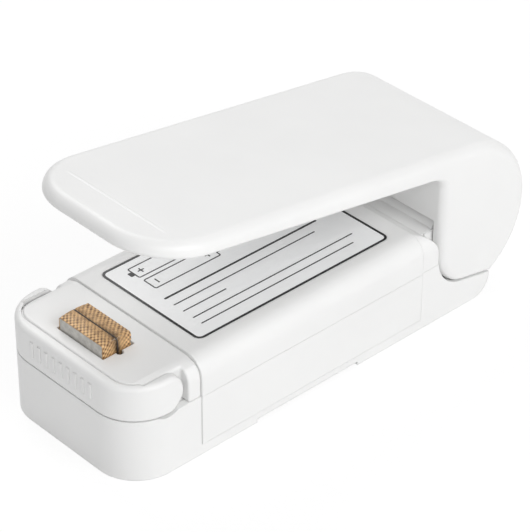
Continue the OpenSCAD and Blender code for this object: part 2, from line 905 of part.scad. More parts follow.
module heater_wire() {
    color("dimgray") from_front() tube([
        [-heater_wire_x, heater_y, flange_low + seat],
        [-heater_wire_x, heater_y, cloth_top - wire_bend],
        [wire_bend - heater_wire_x, heater_y, cloth_top],
        [heater_wire_x - wire_bend, heater_y, cloth_top],
        [heater_wire_x, heater_y, cloth_top - wire_bend],
        [heater_wire_x, heater_y, flange_low + seat]
    ], wire_d, [0, 1, 0], wire_sides);
}

module heater_carriage() {
    color("dimgray") from_front() difference() {
        box(-flange_w / 2, flange_w / 2, heater_y - flange_len / 2, heater_y + flange_len / 2,
            flange_low, flange_top);
        column_pair([heater_wire_x, heater_y], wire_d / 2 + run_fit, 0, big);
    }
}

module moving_contact() {
    color("goldenrod") from_front() switch_plate(moving_low, flange_low);
}

// Battery door and cells
module battery_door() {
    color("whitesmoke") from_front() difference() {
        union() {
            box(-door_hw, door_hw, tray_y0 + gap, door_y1, rim_h, rim_h + door_t);
            box(-knuckle_len / 2, knuckle_len / 2, door_axis_y, tray_y0 + gap + eps, rim_h, rim_h + door_t);
            bar_x(2 * knuckle_r, -knuckle_len / 2, knuckle_len / 2, door_axis_y, door_axis_z);
        }
        bar_x(door_pin_d + 2 * run_fit, -big, big, door_axis_y, door_axis_z);
    }
}

module cell(x, y, turn) {
    translate([x, y, cell_z]) rotate([turn, 0, 0]) {
        cylinder(h = cell_len - nub_len, d = cell_d);
        cylinder(h = cell_len, d = nub_d);
    }
}

module left_cell() {
    color("steelblue") from_front() cell(-cell_x, tray_in_y1 - plate_t - spring_room, 90);
}

module right_cell() {
    color("steelblue") from_front() cell(cell_x, tray_in_y0 + plate_t + spring_room, -90);
}

lower_housing();
upper_housing();
heater_deck();
rating_label();
battery_tray();
housing_screws();
hinge_pin();
lever_spring();
left_contact();
right_contact();
bridge_contact();
contact_springs();
positive_lead();
negative_lead();
switch_contact();
spring_terminals();
heater_springs();
door_pin();
lever_shell();
lever_underplate();
press_pad();
safety_guard();
heater_carriage();
heater_block();
heater_wire();
release_cloth();
moving_contact();
battery_door();
left_cell();
right_cell();
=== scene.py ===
"""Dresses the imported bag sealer: rounded covers, print, woven cloth, springs, cells, light and camera."""

import math

import bmesh
import bpy
from mathutils import Matrix, Vector


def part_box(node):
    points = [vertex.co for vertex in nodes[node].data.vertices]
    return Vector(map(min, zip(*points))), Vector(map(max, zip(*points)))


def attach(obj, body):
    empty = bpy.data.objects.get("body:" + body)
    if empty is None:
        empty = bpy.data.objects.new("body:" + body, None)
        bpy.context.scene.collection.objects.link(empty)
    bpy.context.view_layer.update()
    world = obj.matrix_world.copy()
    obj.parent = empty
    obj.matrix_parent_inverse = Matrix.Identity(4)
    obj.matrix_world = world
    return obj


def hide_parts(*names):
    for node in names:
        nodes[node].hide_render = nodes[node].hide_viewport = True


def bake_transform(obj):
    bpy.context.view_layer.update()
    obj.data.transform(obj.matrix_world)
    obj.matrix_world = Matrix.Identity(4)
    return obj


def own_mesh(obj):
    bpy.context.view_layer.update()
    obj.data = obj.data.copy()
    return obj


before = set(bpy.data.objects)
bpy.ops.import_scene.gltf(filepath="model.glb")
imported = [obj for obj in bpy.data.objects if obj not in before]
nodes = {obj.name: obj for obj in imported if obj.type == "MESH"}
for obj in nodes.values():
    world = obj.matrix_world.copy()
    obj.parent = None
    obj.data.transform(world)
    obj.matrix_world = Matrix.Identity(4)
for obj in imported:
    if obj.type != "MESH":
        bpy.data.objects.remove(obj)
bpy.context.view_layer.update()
scene = bpy.context.scene
MM = 0.001


# Places and sizes, in millimetres: y is measured from the front face, as in the part's source

FRONT_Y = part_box("lower_housing")[0][1]


def place(x, y, z):
    return Vector((x * MM, FRONT_Y + y * MM, z * MM))


def box_mm(node):
    """Lowest and highest corners of a node."""
    return [[c[0] / MM, (c[1] - FRONT_Y) / MM, c[2] / MM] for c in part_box(node)]


def middle(node):
    low, high = box_mm(node)
    return [(a + b) / 2 for a, b in zip(low, high)]


GAP = 0.4
SEAT = 0.1
CLEAR = 1
PIVOT_Y, PIVOT_Z = middle("hinge_pin")[1:]
PIN_D = box_mm("hinge_pin")[1][2] - box_mm("hinge_pin")[0][2]
HALF_W = box_mm("lever_shell")[1][0]
HEATER_Y = middle("heater_block")[1]

LEVER_TILT = math.radians(9.63)
LEVER_TRAVEL = math.radians(14.35)
LEVER_RISE = 15.7
LEVER_SETBACK = 2.6
LEVER_WALL = 1.6
LEVER_CORNER_R = 13
LEVER_U0 = LEVER_SETBACK - PIVOT_Y
LEVER_UP = Vector((math.sin(LEVER_TILT), math.cos(LEVER_TILT)))
LEVER_REAR = Vector((math.cos(LEVER_TILT), -math.sin(LEVER_TILT)))
CREASE_LEN = 7.8
CREASE_T = 3.3
BACK_U, BACK_W, BACK_R = -0.25, 3.0, 17.8
EAR_REACH = 6.7
EAR_FRONT = PIVOT_Y - EAR_REACH
EAR_T = 2.6
EAR_R = 8
EAR_DROP = 2.2
EAR_CENTRE = (EAR_FRONT + EAR_R, PIVOT_Z - EAR_DROP)
EAR_FILLET = 4
EAR_SLOPE = math.radians(11.1)
EAR_DOWN = Vector((-math.sin(EAR_SLOPE), -math.cos(EAR_SLOPE)))
EAR_REAR = Vector((math.cos(EAR_SLOPE), -math.sin(EAR_SLOPE)))
CURTAIN_RISE = 6
CURTAIN_LOW = PIVOT_Z + CURTAIN_RISE


def lever_point(u, w):
    """Point of the open lever, from its own frame to y and z."""
    return (PIVOT_Y + u * math.cos(LEVER_TILT) + w * math.sin(LEVER_TILT),
            PIVOT_Z - u * math.sin(LEVER_TILT) + w * math.cos(LEVER_TILT))


BACK = lever_point(BACK_U, BACK_W)


# Materials

NOISE_LOW, NOISE_HIGH = 0.3, 0.7


def bsdf_of(mat):
    return mat.node_tree.nodes["Principled BSDF"]


def new_material(name, color, roughness, metallic=0.0):
    mat = bpy.data.materials.new(name)
    mat.use_nodes = True
    sockets = bsdf_of(mat).inputs
    sockets["Base Color"].default_value = (*color, 1)
    sockets["Roughness"].default_value = roughness
    sockets["Metallic"].default_value = metallic
    return mat


def add(mat, kind, **values):
    """New node; a value goes to the socket of its name, or else to the node's own setting."""
    node = mat.node_tree.nodes.new(kind)
    for key, value in values.items():
        if key in node.inputs:
            node.inputs[key].default_value = value
        else:
            setattr(node, key, value)
    return node


def join(mat, source, target):
    mat.node_tree.links.new(source, target)


def noise(mat, scale, detail):
    coords = add(mat, "ShaderNodeTexCoord")
    tex = add(mat, "ShaderNodeTexNoise", Scale=scale, Detail=detail)
    join(mat, coords.outputs["Object"], tex.inputs["Vector"])
    return tex.outputs["Fac"]


def ramp(mat, fac, low, high, start=NOISE_LOW, end=NOISE_HIGH):
    """Colour from low to high between two values."""
    node = add(mat, "ShaderNodeValToRGB")
    for stop, position, color in zip(node.color_ramp.elements, (start, end), (low, high)):
        stop.position = position
        stop.color = (*color, 1)
    join(mat, fac, node.inputs["Fac"])
    return node.outputs["Color"]


def span(mat, fac, low, high):
    """Number from low to high over the range that a noise has most of the time."""
    node = add(mat, "ShaderNodeMapRange")
    ends = {"From Min": NOISE_LOW, "From Max": NOISE_HIGH, "To Min": low, "To Max": high}
    for key, value in ends.items():
        node.inputs[key].default_value = value
    join(mat, fac, node.inputs["Value"])
    return node.outputs["Result"]


def math_of(mat, operation, a, b):
    node = add(mat, "ShaderNodeMath", operation=operation)
    join(mat, a, node.inputs[0])
    join(mat, b, node.inputs[1])
    return node.outputs[0]


def bump(mat, height, depth, strength, edge=0.0):
    """Fine relief, over edges that read as rounded by the width edge."""
    node = add(mat, "ShaderNodeBump", Strength=strength, Distance=depth * MM)
    join(mat, height, node.inputs["Height"])
    join(mat, node.outputs["Normal"], bsdf_of(mat).inputs["Normal"])
    if edge:
        rounded = add(mat, "ShaderNodeBevel", Radius=edge * MM, samples=4)
        join(mat, rounded.outputs["Normal"], node.inputs["Normal"])


def uneven(mat, color, drift, shade, roughness, spread, gloss):
    """Shade that drifts with one noise, and gloss that drifts with another."""
    sockets = bsdf_of(mat).inputs
    darker = tuple(c * drift for c in color)
    join(mat, ramp(mat, shade, darker, color), sockets["Base Color"])
    join(mat, span(mat, gloss, roughness - spread[0], roughness + spread[1]), sockets["Roughness"])


def plastic(name, color, roughness, grain=2600, depth=0.012, edge=0.0, patch=60, drift=0.975):
    """Moulded plastic: a fine grain, and a faint drift of shade and gloss."""
    gloss_patch, spread, strength = 140, (0.05, 0.06), 0.35
    mat = new_material(name, color, roughness)
    uneven(mat, color, drift, noise(mat, patch, 2), roughness, spread, noise(mat, gloss_patch, 4))
    bump(mat, noise(mat, grain, 2), depth, strength, edge)
    return mat


def metal(name, color, roughness, edge=0.0):
    """Bare metal: tarnish in patches and uneven gloss."""
    patch, tarnish, gloss_patch, spread = 420, 0.82, 900, (0.08, 0.1)
    grain, depth, strength = 3200, 0.006, 0.3
    mat = new_material(name, color, roughness, 1.0)
    uneven(mat, color, tarnish, noise(mat, patch, 4), roughness, spread, noise(mat, gloss_patch, 5))
    bump(mat, noise(mat, grain, 2), depth, strength, edge)
    return mat


def woven(name, gap_shade, crown, soot):
    """Coated glass cloth: its own brown, darkened as painted shade in the gaps and lightened as painted
    sheen on the thread crowns, browned where the wire runs.
    """
    glossy, even, dull = 0.38, 0.5, 0.62
    fray, gap_end, crown_start = 0.2, 0.1, 0.85
    soot_thin, soot_thick = 0.5, 1.2
    fray_patch, soot_patch, gloss_patch = 900, 700, 500
    grain, depth, strength = 6000, 0.01, 0.4
    mat = new_material(name, crown, even)
    sockets = bsdf_of(mat).inputs
    weave = add(mat, "ShaderNodeAttribute", attribute_name="weave").outputs["Fac"]
    burnt = add(mat, "ShaderNodeAttribute", attribute_name="soot").outputs["Fac"]
    sheen_and_shade_mask = math_of(mat, "ADD", weave, span(mat, noise(mat, fray_patch, 3), -fray, fray))
    # Painted shade in the weave's gaps and painted sheen on its crowns, over the cloth's own brown.
    painted_weave_light = ramp(mat, sheen_and_shade_mask, gap_shade, crown, gap_end, crown_start)
    patchy = math_of(mat, "MULTIPLY", burnt, span(mat, noise(mat, soot_patch, 4), soot_thin, soot_thick))
    shade = add(mat, "ShaderNodeMix", data_type="RGBA")
    shade.inputs["B"].default_value = (*soot, 1)
    join(mat, patchy, shade.inputs["Factor"])
    join(mat, painted_weave_light, shade.inputs["A"])
    join(mat, shade.outputs["Result"], sockets["Base Color"])
    join(mat, span(mat, noise(mat, gloss_patch, 3), glossy, dull), sockets["Roughness"])
    bump(mat, noise(mat, grain, 3), depth, strength)
    return mat


WHITE = (0.845, 0.845, 0.84)
white = plastic("white_plastic", WHITE, 0.42, edge=0.3)
lever_white = plastic("lever_plastic", WHITE, 0.38, depth=0.008)
plate_grey = plastic("grey_plastic", (0.66, 0.66, 0.655), 0.48, edge=0.2)
# The label film is painted lighter than its own tone, as painted light in place of the light that the lever
# keeps off it.
film = plastic("label_film", (0.94, 0.945, 0.95), 0.34, depth=0.004)
dark = plastic("dark_plastic", (0.03, 0.03, 0.032), 0.5, edge=0.2)
red_lead = plastic("red_lead", (0.45, 0.02, 0.015), 0.4, depth=0.004)
black_lead = plastic("black_lead", (0.02, 0.02, 0.02), 0.4, depth=0.004)
ink = plastic("label_ink", (0.012, 0.012, 0.013), 0.45, depth=0.002)
sleeve_dark = plastic("cell_sleeve_dark", (0.025, 0.027, 0.03), 0.3, depth=0.002)
sleeve_pale = plastic("cell_sleeve_pale", (0.32, 0.33, 0.34), 0.3, depth=0.002)
steel = metal("steel", (0.56, 0.56, 0.57), 0.32, edge=0.1)
spring_steel = metal("spring_steel", (0.5, 0.5, 0.51), 0.28)
brass = metal("brass", (0.72, 0.52, 0.22), 0.34, edge=0.1)
wire_dark = metal("heating_wire", (0.12, 0.105, 0.1), 0.5)
silicone = plastic("silicone", (0.74, 0.73, 0.71), 0.62, grain=1800, depth=0.02)
ceramic = plastic("ceramic", (0.66, 0.64, 0.6), 0.7, grain=3400, depth=0.05, edge=0.15,
                  patch=1100, drift=0.74)
# Cloth colours: painted shade for the weave's gaps, painted sheen for its crowns, and soot.
cloth_mat = woven("coated_cloth", (0.13, 0.055, 0.018), (0.82, 0.53, 0.26), (0.03, 0.018, 0.01))

for name, mat in {
    "housing_screws": steel, "hinge_pin": steel, "door_pin": steel, "left_contact": brass,
    "right_contact": brass, "bridge_contact": brass, "switch_contact": brass, "spring_terminals": brass,
    "moving_contact": brass, "battery_tray": dark, "heater_carriage": dark, "lever_underplate": plate_grey,
    "heater_block": ceramic, "lower_housing": white, "upper_housing": white, "battery_door": white,
    "rating_label": film,
}.items():
    nodes[name].data.materials.clear()
    nodes[name].data.materials.append(mat)


# Mesh helpers: a form is a list of points, in millimetres with y from the front face, and a list of faces

PIECE_SHARP, MOULDED_SHARP = 40, 32
ROUND_SEGMENTS = 5
ROUND_ANGLE = math.radians(35)
WELD = 0.005


def closed_mesh(name, points, faces):
    """Mesh of a form, its faces turned outward."""
    mesh = bpy.data.meshes.new(name)
    mesh.from_pydata([place(*p) for p in points], [], faces)
    bm = bmesh.new()
    bm.from_mesh(mesh)
    bmesh.ops.recalc_face_normals(bm, faces=bm.faces)
    bm.to_mesh(mesh)
    bm.free()
    return mesh


def make_piece(name, mesh, mat, body, replaces=(), sharp=PIECE_SHARP):
    """Piece that rides on a body, if one is named, and is smooth apart from its sharp edges."""
    mesh.shade_smooth()
    mesh.set_sharp_from_angle(angle=math.radians(sharp))
    mesh.materials.clear()
    mesh.materials.append(mat)
    obj = bpy.data.objects.new(name, mesh)
    scene.collection.objects.link(obj)
    if body:
        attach(obj, body)
    if replaces:
        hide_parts(*replaces)
    return obj


def piece(name, form, mat, body, replaces=(), sharp=PIECE_SHARP):
    return make_piece(name, closed_mesh(name, *form), mat, body, replaces, sharp)


def moulded(name, mesh, mat, body, node):
    """White cover in place of a node, its faces shaded flat between their rounded edges."""
    obj = make_piece(name, mesh, mat, body, [node], MOULDED_SHARP)
    obj.modifiers.new("even", "WEIGHTED_NORMAL").keep_sharp = True


def temporary(form):
    """Mesh object to work on, which baked removes."""
    obj = bpy.data.objects.new("temporary", closed_mesh("temporary", *form))
    scene.collection.objects.link(obj)
    return obj


def baked(obj, *tools):
    """Mesh of a temporary object with its modifiers applied; the object and its tools are removed."""
    bpy.context.view_layer.update()
    mesh = bpy.data.meshes.new_from_object(obj.evaluated_get(bpy.context.evaluated_depsgraph_get()))
    for spent in (obj, *tools):
        bpy.data.objects.remove(spent)
    return mesh


def worked(obj, *steps):
    """Mesh of a temporary object after its roundings, joins and cuts, in the order given."""
    tools = []
    for kind, value in steps:
        if kind == "ROUND":
            step = obj.modifiers.new("round", "BEVEL")
            step.width = value * MM
            step.segments = ROUND_SEGMENTS
            step.limit_method = "ANGLE"
            step.angle_limit = ROUND_ANGLE
            step.use_clamp_overlap = False
            step.loop_slide = False
        else:
            tools.append(temporary(value))
            step = obj.modifiers.new("join", "BOOLEAN")
            step.operation = kind
            step.solver = "EXACT"
            step.object = tools[-1]
    obj.modifiers.new("weld", "WELD").merge_threshold = WELD * MM
    return baked(obj, *tools)


def merged(*forms):
    points, faces = [], []
    for more, sides in forms:
        faces += [tuple(len(points) + i for i in f) for f in sides]
        points += more
    return points, faces


def arc(centre, r, start, end, steps):
    """Points of an arc, angles in radians from the first axis towards the second."""
    turn = [start + (end - start) * i / steps for i in range(steps + 1)]
    return [(centre[0] + r * math.cos(a), centre[1] + r * math.sin(a)) for a in turn]


def circle(centre, r, sides=32):
    return arc(centre, r, 0, 2 * math.pi * (sides - 1) / sides, sides - 1)


def full_turn(steps):
    return [2 * math.pi * k / steps for k in range(steps)]


def mirrored(right):
    """Closed outline from its right half, given from the first point to the last."""
    return right + [(-a, b) for a, b in reversed(right)]


def round_front(half, front, rear, r, steps=15):
    """Plan with two round front corners."""
    return mirrored(arc((half - r, front + r), r, -math.pi / 2, 0, steps) + [(half, rear)])


def round_rect(x0, x1, y0, y1, r, steps=6):
    corners = [(x1 - r, y1 - r), (x0 + r, y1 - r), (x0 + r, y0 + r), (x1 - r, y0 + r)]
    quarter = math.pi / 2
    return [p for i, c in enumerate(corners) for p in arc(c, r, i * quarter, (i + 1) * quarter, steps)]


def stacked(rings):
    """Solid between closed rings of points, its first and last ring filled."""
    n = len(rings[0])
    faces = [tuple(range(n)), tuple(len(rings) * n - 1 - i for i in range(n))]
    for k in range(len(rings) - 1):
        a, b = k * n, (k + 1) * n
        faces += [(a + i, b + i, b + (i + 1) % n, a + (i + 1) % n) for i in range(n)]
    return [p for ring in rings for p in ring], faces


def across(outline, x0, x1):
    """Side view outline of (y, z) carried across the body."""
    return stacked([[(x, y, z) for y, z in outline] for x in (x0, x1)])


def upright(outline, z0, z1):
    """Plan outline of (x, y) carried upwards."""
    return stacked([[(x, y, z) for x, y in outline] for z in (z0, z1)])


def bar(x0, x1, y0, y1, z0, z1):
    return upright([(x0, y0), (x1, y0), (x1, y1), (x0, y1)], z0, z1)


def frame_of(outer, inner, z0, z1):
    """Flat ring between two plan outlines with the same number of points."""
    n = len(outer)
    loops = [(outer, z0), (outer, z1), (inner, z1), (inner, z0)]
    points = [(x, y, z) for loop, z in loops for x, y in loop]
    faces = []
    for k in range(len(loops)):
        a, b = k * n, (k + 1) % len(loops) * n
        faces += [(a + i, a + (i + 1) % n, b + (i + 1) % n, b + i) for i in range(n)]
    return points, faces


def tube(path, d, sides=12):
    """Round tube along a path, its section carried on without twist."""
    path = [Vector(p) for p in path]
    rings = []
    normal = None
    for i, p in enumerate(path):
        t = (path[min(i + 1, len(path) - 1)] - path[max(i - 1, 0)]).normalized()
        if normal is None:
            normal = t.orthogonal()
        normal = (normal - t * normal.dot(t)).normalized()
        other = t.cross(normal)
        rings.append([tuple(p + (normal * math.cos(a) + other * math.sin(a)) * d / 2)
                      for a in full_turn(sides)])
    return stacked(rings)


def bent(path, radius, steps=5):
    """The path with each inner corner turned into a smooth bend."""
    path = [Vector(p) for p in path]
    out = [path[0]]
    for a, b, c in zip(path, path[1:], path[2:]):
        reach = min(radius, (a - b).length / 2, (c - b).length / 2)
        p, q = b + (a - b).normalized() * reach, b + (c - b).normalized() * reach
        for f in [i / steps for i in range(steps + 1)]:
            out.append((1 - f) ** 2 * p + 2 * f * (1 - f) * b + f ** 2 * q)
    return out + [path[-1]]


def turned(profile, put, steps=48):
    """Profile of (radius, height) turned round; put places a turned point."""
    turns = full_turn(steps)
    return stacked([[put(r * math.cos(a), r * math.sin(a), h) for a in turns] for r, h in profile])


# Lever: a side view carried across, its plan corners and all its edges rounded, then hollowed

TOP_EDGE, LOW_EDGE = 2.2, 0.8
EDGE_SEGMENTS = 6
CORNER_SEGMENTS = 18
CORNER_PROFILE = 0.5
FRONT_REACH = 2
SHARP = math.radians(25)
SIDEWAYS, LEVEL, STANDING = 0.999, 0.9, 0.2
BACK_STEPS, FILLET_STEPS, EAR_STEPS, ROOM_STEPS, POCKET_STEPS = 26, 8, 10, 60, 12
UNDER_T = 1.0
UNDER_U1 = EAR_FRONT - 2 * EAR_FILLET - PIVOT_Y
PIN_SHARE = 0.4
EAR_EDGE = 2.0
EDGE_START = 0.3
EDGE_LEAD = 3.0
EDGE_STEPS, EDGE_HOLD, EDGE_ARC = 12, 4, 8


def tangent_turn(point, centre, r):
    """Angle on a circle where the line from a point on its left touches its top."""
    dy, dz = point[0] - centre[0], point[1] - centre[1]
    return math.atan2(dz, dy) - math.acos(r / math.hypot(dy, dz))


def ear_fillet():
    """Centre of the round corner between the lever's lower face and its ears."""
    y = EAR_FRONT - EAR_FILLET
    lower_z = PIVOT_Z + (LEVER_RISE + (PIVOT_Y - y) * math.sin(LEVER_TILT)) / math.cos(LEVER_TILT)
    return y, lower_z - EAR_FILLET / math.cos(LEVER_TILT)


def fillet_arc():
    return arc(ear_fillet(), EAR_FILLET, math.pi / 2 - LEVER_TILT, 0, FILLET_STEPS)


def ear_arc(steps):
    return arc(EAR_CENTRE, EAR_R, math.pi, 1.5 * math.pi - EAR_SLOPE, steps)


def lever_outline():
    """Side view, from the front's lower edge, round under the ears and back over the top."""
    off = Vector(EAR_CENTRE) + EAR_R * EAR_DOWN - Vector(BACK)
    run = math.sqrt(off.dot(EAR_REAR) ** 2 - off.length_squared + BACK_R ** 2) - off.dot(EAR_REAR)
    tail = off + run * EAR_REAR
    crease = lever_point(LEVER_U0 + CREASE_LEN, LEVER_RISE + CREASE_T)
    touch = tangent_turn(crease, BACK, BACK_R)
    curved_back = arc(BACK, BACK_R, math.atan2(tail.y, tail.x), touch, BACK_STEPS)
    top = Vector(curved_back[-1]) - Vector(crease)
    front_t = CREASE_T - CREASE_LEN * top.dot(LEVER_UP) / top.dot(LEVER_REAR)
    front = [lever_point(LEVER_U0, w) for w in (LEVER_RISE, LEVER_RISE + front_t)]
    return [front[0]] + fillet_arc() + ear_arc(EAR_STEPS) + curved_back + [front[1]]


def face_kind(face):
    """Side, top or low, by the way a face of the lever looks and where it lies."""
    n = face.normal
    centre = face.calc_center_median()
    y, z = (centre.y - FRONT_Y) / MM, centre.z / MM
    up = n.y * math.sin(LEVER_TILT) + n.z * math.cos(LEVER_TILT)
    in_front = y < lever_point(LEVER_U0 + LEVER_CORNER_R, LEVER_RISE + CREASE_T)[0]
    from_back = Vector((y - BACK[0], z - BACK[1]))
    on_back = abs(from_back.length - BACK_R) < GAP and from_back.dot(n.yz) > 0
    if abs(n.x) > SIDEWAYS or (in_front and abs(up) < STANDING):
        return "side"
    return "top" if up > LEVEL or on_back else "low"


def edge_size(edge, kinds):
    """Rounding of an edge of the lever's outer form, by the faces that meet there."""
    if edge.calc_face_angle(0) < SHARP:
        return 0
    meeting = {kinds[f] for f in edge.link_faces}
    return TOP_EDGE if meeting == {"top", "side"} else LOW_EDGE


def lever_form():
    """The lever's outer form, with its edges to be rounded by a modifier."""
    obj = temporary(across(lever_outline(), -HALF_W, HALF_W))
    bm = bmesh.new()
    bm.from_mesh(obj.data)
    front = place(0, *lever_point(LEVER_U0, LEVER_RISE)).y
    corners = [e for e in bm.edges
               if abs(e.verts[0].co.x - e.verts[1].co.x) < SEAT * MM
               and all(v.co.y < front + FRONT_REACH * MM for v in e.verts)]
    bmesh.ops.bevel(bm, geom=corners, offset=LEVER_CORNER_R * MM, offset_type="OFFSET",
                    segments=CORNER_SEGMENTS, profile=CORNER_PROFILE, affect="EDGES", clamp_overlap=False)
    bm.normal_update()
    kinds = {f: face_kind(f) for f in bm.faces}
    weights = bm.edges.layers.float.new("bevel_weight_edge")
    for e in bm.edges:
        e[weights] = edge_size(e, kinds) / TOP_EDGE
    bm.to_mesh(obj.data)
    bm.free()
    rounding = obj.modifiers.new("edges", "BEVEL")
    rounding.width = TOP_EDGE * MM
    rounding.segments = EDGE_SEGMENTS
    rounding.limit_method = "WEIGHT"
    rounding.use_clamp_overlap = False
    return obj


def hinge_room():
    """Space between the ears, open below and closed in front by a wall that hides the hinge."""
    r = BACK_R - LEVER_WALL - GAP
    wall = EAR_FRONT + LEVER_WALL
    above = math.acos((wall - BACK[0]) / r)
    level = -math.pi - math.asin((CURTAIN_LOW - BACK[1]) / r)
    outline = arc(BACK, r, above, level, ROOM_STEPS) + [(wall, CURTAIN_LOW)]
    return across(outline, EAR_T - HALF_W, HALF_W - EAR_T)


def under_pocket():
    """Space for the underplate, in the lever's lower face."""
    plan = round_front(HALF_W - LEVER_WALL, LEVER_U0 + LEVER_WALL, UNDER_U1 + SEAT,
                       LEVER_CORNER_R - LEVER_WALL, POCKET_STEPS)
    return stacked([[(x, *lever_point(u, w)) for x, u in plan]
                    for w in (LEVER_RISE - UNDER_T, LEVER_RISE + UNDER_T + SEAT)])


def pin_bore():
    half = HALF_W - PIN_SHARE * EAR_T + SEAT
    return across(circle((PIVOT_Y, PIVOT_Z), PIN_D / 2 + SEAT / 2), -half, half)


def ear_edge_path():
    """Front edge of an ear: points, their outward directions and the share of the full rounding there."""
    centre = Vector(ear_fillet())
    first = [Vector(p) for p in fillet_arc()]
    last = [Vector(p) for p in ear_arc(EDGE_STEPS)]
    path = [(first[0] - LEVER_REAR * EDGE_LEAD, -LEVER_UP, 0.0)]
    path += [(p, (centre - p).normalized(), (i + 1) / (FILLET_STEPS + 1)) for i, p in enumerate(first)]
    path += [(first[-1].lerp(last[0], f), Vector((-1, 0)), 1.0) for f in (0.25, 0.5, 0.75)]
    fading = EDGE_STEPS + 1 - EDGE_HOLD
    path += [(p, (p - Vector(EAR_CENTRE)).normalized(), 1 - max(0, i - EDGE_HOLD) / fading)
             for i, p in enumerate(last)]
    path.append((last[-1] + EAR_REAR * EDGE_LEAD, EAR_DOWN, 0.0))
    return path


def ear_edges():
    """Space outside the broad rounding of both ears' front edges."""
    rings = []
    for p, out, share in ear_edge_path():
        r = EDGE_START + (EAR_EDGE - EDGE_START) * share * share * (3 - 2 * share)
        profile = [(HALF_W + GAP, GAP), (HALF_W - r, GAP)]
        profile += arc((HALF_W - r, -r), r, math.pi / 2, 0, EDGE_ARC) + [(HALF_W + GAP, -r)]
        rings.append([(x, *(p + out * s)) for x, s in profile])
    left = [[(-x, y, z) for x, y, z in ring] for ring in rings]
    return merged(stacked(rings), stacked(left))


def lever_cover():
    spaces = (ear_edges(), hinge_room(), under_pocket(), pin_bore())
    mesh = worked(lever_form(), *[("DIFFERENCE", space) for space in spaces])
    moulded("lever_cover", mesh, lever_white, "lever", "lever_shell")


CREASE_HALF = 14
CREASE_W = 0.8
CREASE_H = 0.1
TOP_SLOPE = 0.0245


def lever_crease():
    """Fine raised line across the thumb end, running out at both ends."""
    lengths, widths = 40, 6

    def on_top(f, g, rise):
        u = g * CREASE_W / 2
        w = LEVER_RISE + CREASE_T + TOP_SLOPE * u + rise
        return (f * CREASE_HALF, *lever_point(LEVER_U0 + CREASE_LEN + u, w))

    rings = []
    for f in [2 * i / lengths - 1 for i in range(lengths + 1)]:
        height = CREASE_H * math.sqrt(1 - f ** 4)
        crest = [2 * k / widths - 1 for k in range(widths + 1)]
        line = [on_top(f, g, height * (1 - g * g)) for g in crest]
        rings.append(line + [on_top(f, g, -SEAT) for g in (1, -1)])
    piece("lever_crease", stacked(rings), lever_white, "lever")


BARREL_R = 7.3
BARREL_WALL = 0.7
BARREL_START, BARREL_END = math.radians(132), math.radians(170)
BARREL_STEPS = (12, 16)
LEDGE_RISE = 3.54
LEDGE_REACH = 9.6


def hinge_barrel():
    """Curved cover over the hinge, behind the body's end and clear of the lever as it turns."""
    ledge = math.pi - math.asin(LEDGE_RISE / BARREL_R)
    axis = (PIVOT_Y, PIVOT_Z)
    outline = arc(axis, BARREL_R, BARREL_START, ledge, BARREL_STEPS[0])
    outline += [(PIVOT_Y - LEDGE_REACH, PIVOT_Z + LEDGE_RISE), (PIVOT_Y - LEDGE_REACH, PIVOT_Z)]
    outline += arc(axis, BARREL_R - BARREL_WALL, BARREL_END, BARREL_START, BARREL_STEPS[1])
    half = HALF_W - EAR_T - 2 * GAP
    piece("hinge_barrel", across(outline, -half, half), white, "base")


PAD_LEN = 9
PAD_HALF = 11
PAD_EDGE = 0.6
PAD_SEGMENTS = 4


def soft_pad():
    """Silicone pad under the thumb end, its working face level when the lever is closed."""
    face_z = box_mm("heater_wire")[1][2] + GAP / 2

    def opened(y, z):
        dy, dz = y - PIVOT_Y, z - PIVOT_Z
        c, s = math.cos(LEVER_TRAVEL), math.sin(LEVER_TRAVEL)
        return Vector((PIVOT_Y + dy * c + dz * s, PIVOT_Z - dy * s + dz * c))

    low = [opened(HEATER_Y + side * PAD_LEN / 2, face_z) for side in (-1, 1)]
    rise = opened(HEATER_Y, face_z + 1) - opened(HEATER_Y, face_z)
    seat = Vector(lever_point(0, LEVER_RISE))
    high = [p + rise * ((seat - p).dot(LEVER_UP) / rise.dot(LEVER_UP)) for p in low]
    obj = temporary(across([tuple(p) for p in (low[0], low[1], high[1], high[0])], -PAD_HALF, PAD_HALF))
    rounding = obj.modifiers.new("edges", "BEVEL")
    rounding.width = PAD_EDGE * MM
    rounding.segments = PAD_SEGMENTS
    make_piece("pad_strip", baked(obj), silicone, "lever", ["press_pad"])


lever_cover()
lever_crease()
hinge_barrel()
soft_pad()


# Deck and guard: rounded forms, with a shoulder turned about the guard's pivot in the groove between them

DECK_LEN, DECK_TOP = box_mm("heater_deck")[1][1:]
DECK_WALL = 1.4
DECK_UNDER = DECK_TOP - DECK_WALL
DECK_HALF = 17.4
DECK_FRONT = 2.35
DECK_CORNER_R = 5
DECK_CORNER_STEPS = 7
DECK_EDGE_R = 3.8
DECK_SLOPE = math.radians(52.5)
DECK_SIDE_STEPS = 14
DECK_LOW = 12.15
DECK_ROUND = 0.45
LIP_HALF = 17.95
LIP_FRONT = 1.7
LIP_CORNER_R = 7.5
EAR_ROOM_R = 4.5
BODY_HALF = box_mm("heater_deck")[1][0]
BODY_CORNER_R = 9.2
SEAM_Z = 13.75
COLUMN_Y = 14.3
WINDOW_HALF = (6.8, 3.8)
WIRE_HOLE_X, WIRE_HOLE_R = 7.05, 0.75
GUARD_SETBACK, GUARD_DROP = 9.4, 3.9
GUARD_AXIS = GUARD_Y, GUARD_Z = GUARD_SETBACK, DECK_TOP - GUARD_DROP
GUARD_LOW = 14.05
GUARD_EAR_R = 4.1
GUARD_EAR_STEPS = 20
GUARD_ROUND = 1.1
NECK_R = 2.5
NECK_STEPS = 8
ARM_IN = 17.7
INNER_Y = 5.1
STUB_R = 1.5
STUB_SPAN = (16, 18.2)
GRIP_COUNT = 9
GRIP_SPAN = 17
GRIP_W = 0.8
GRIP_H = 0.25
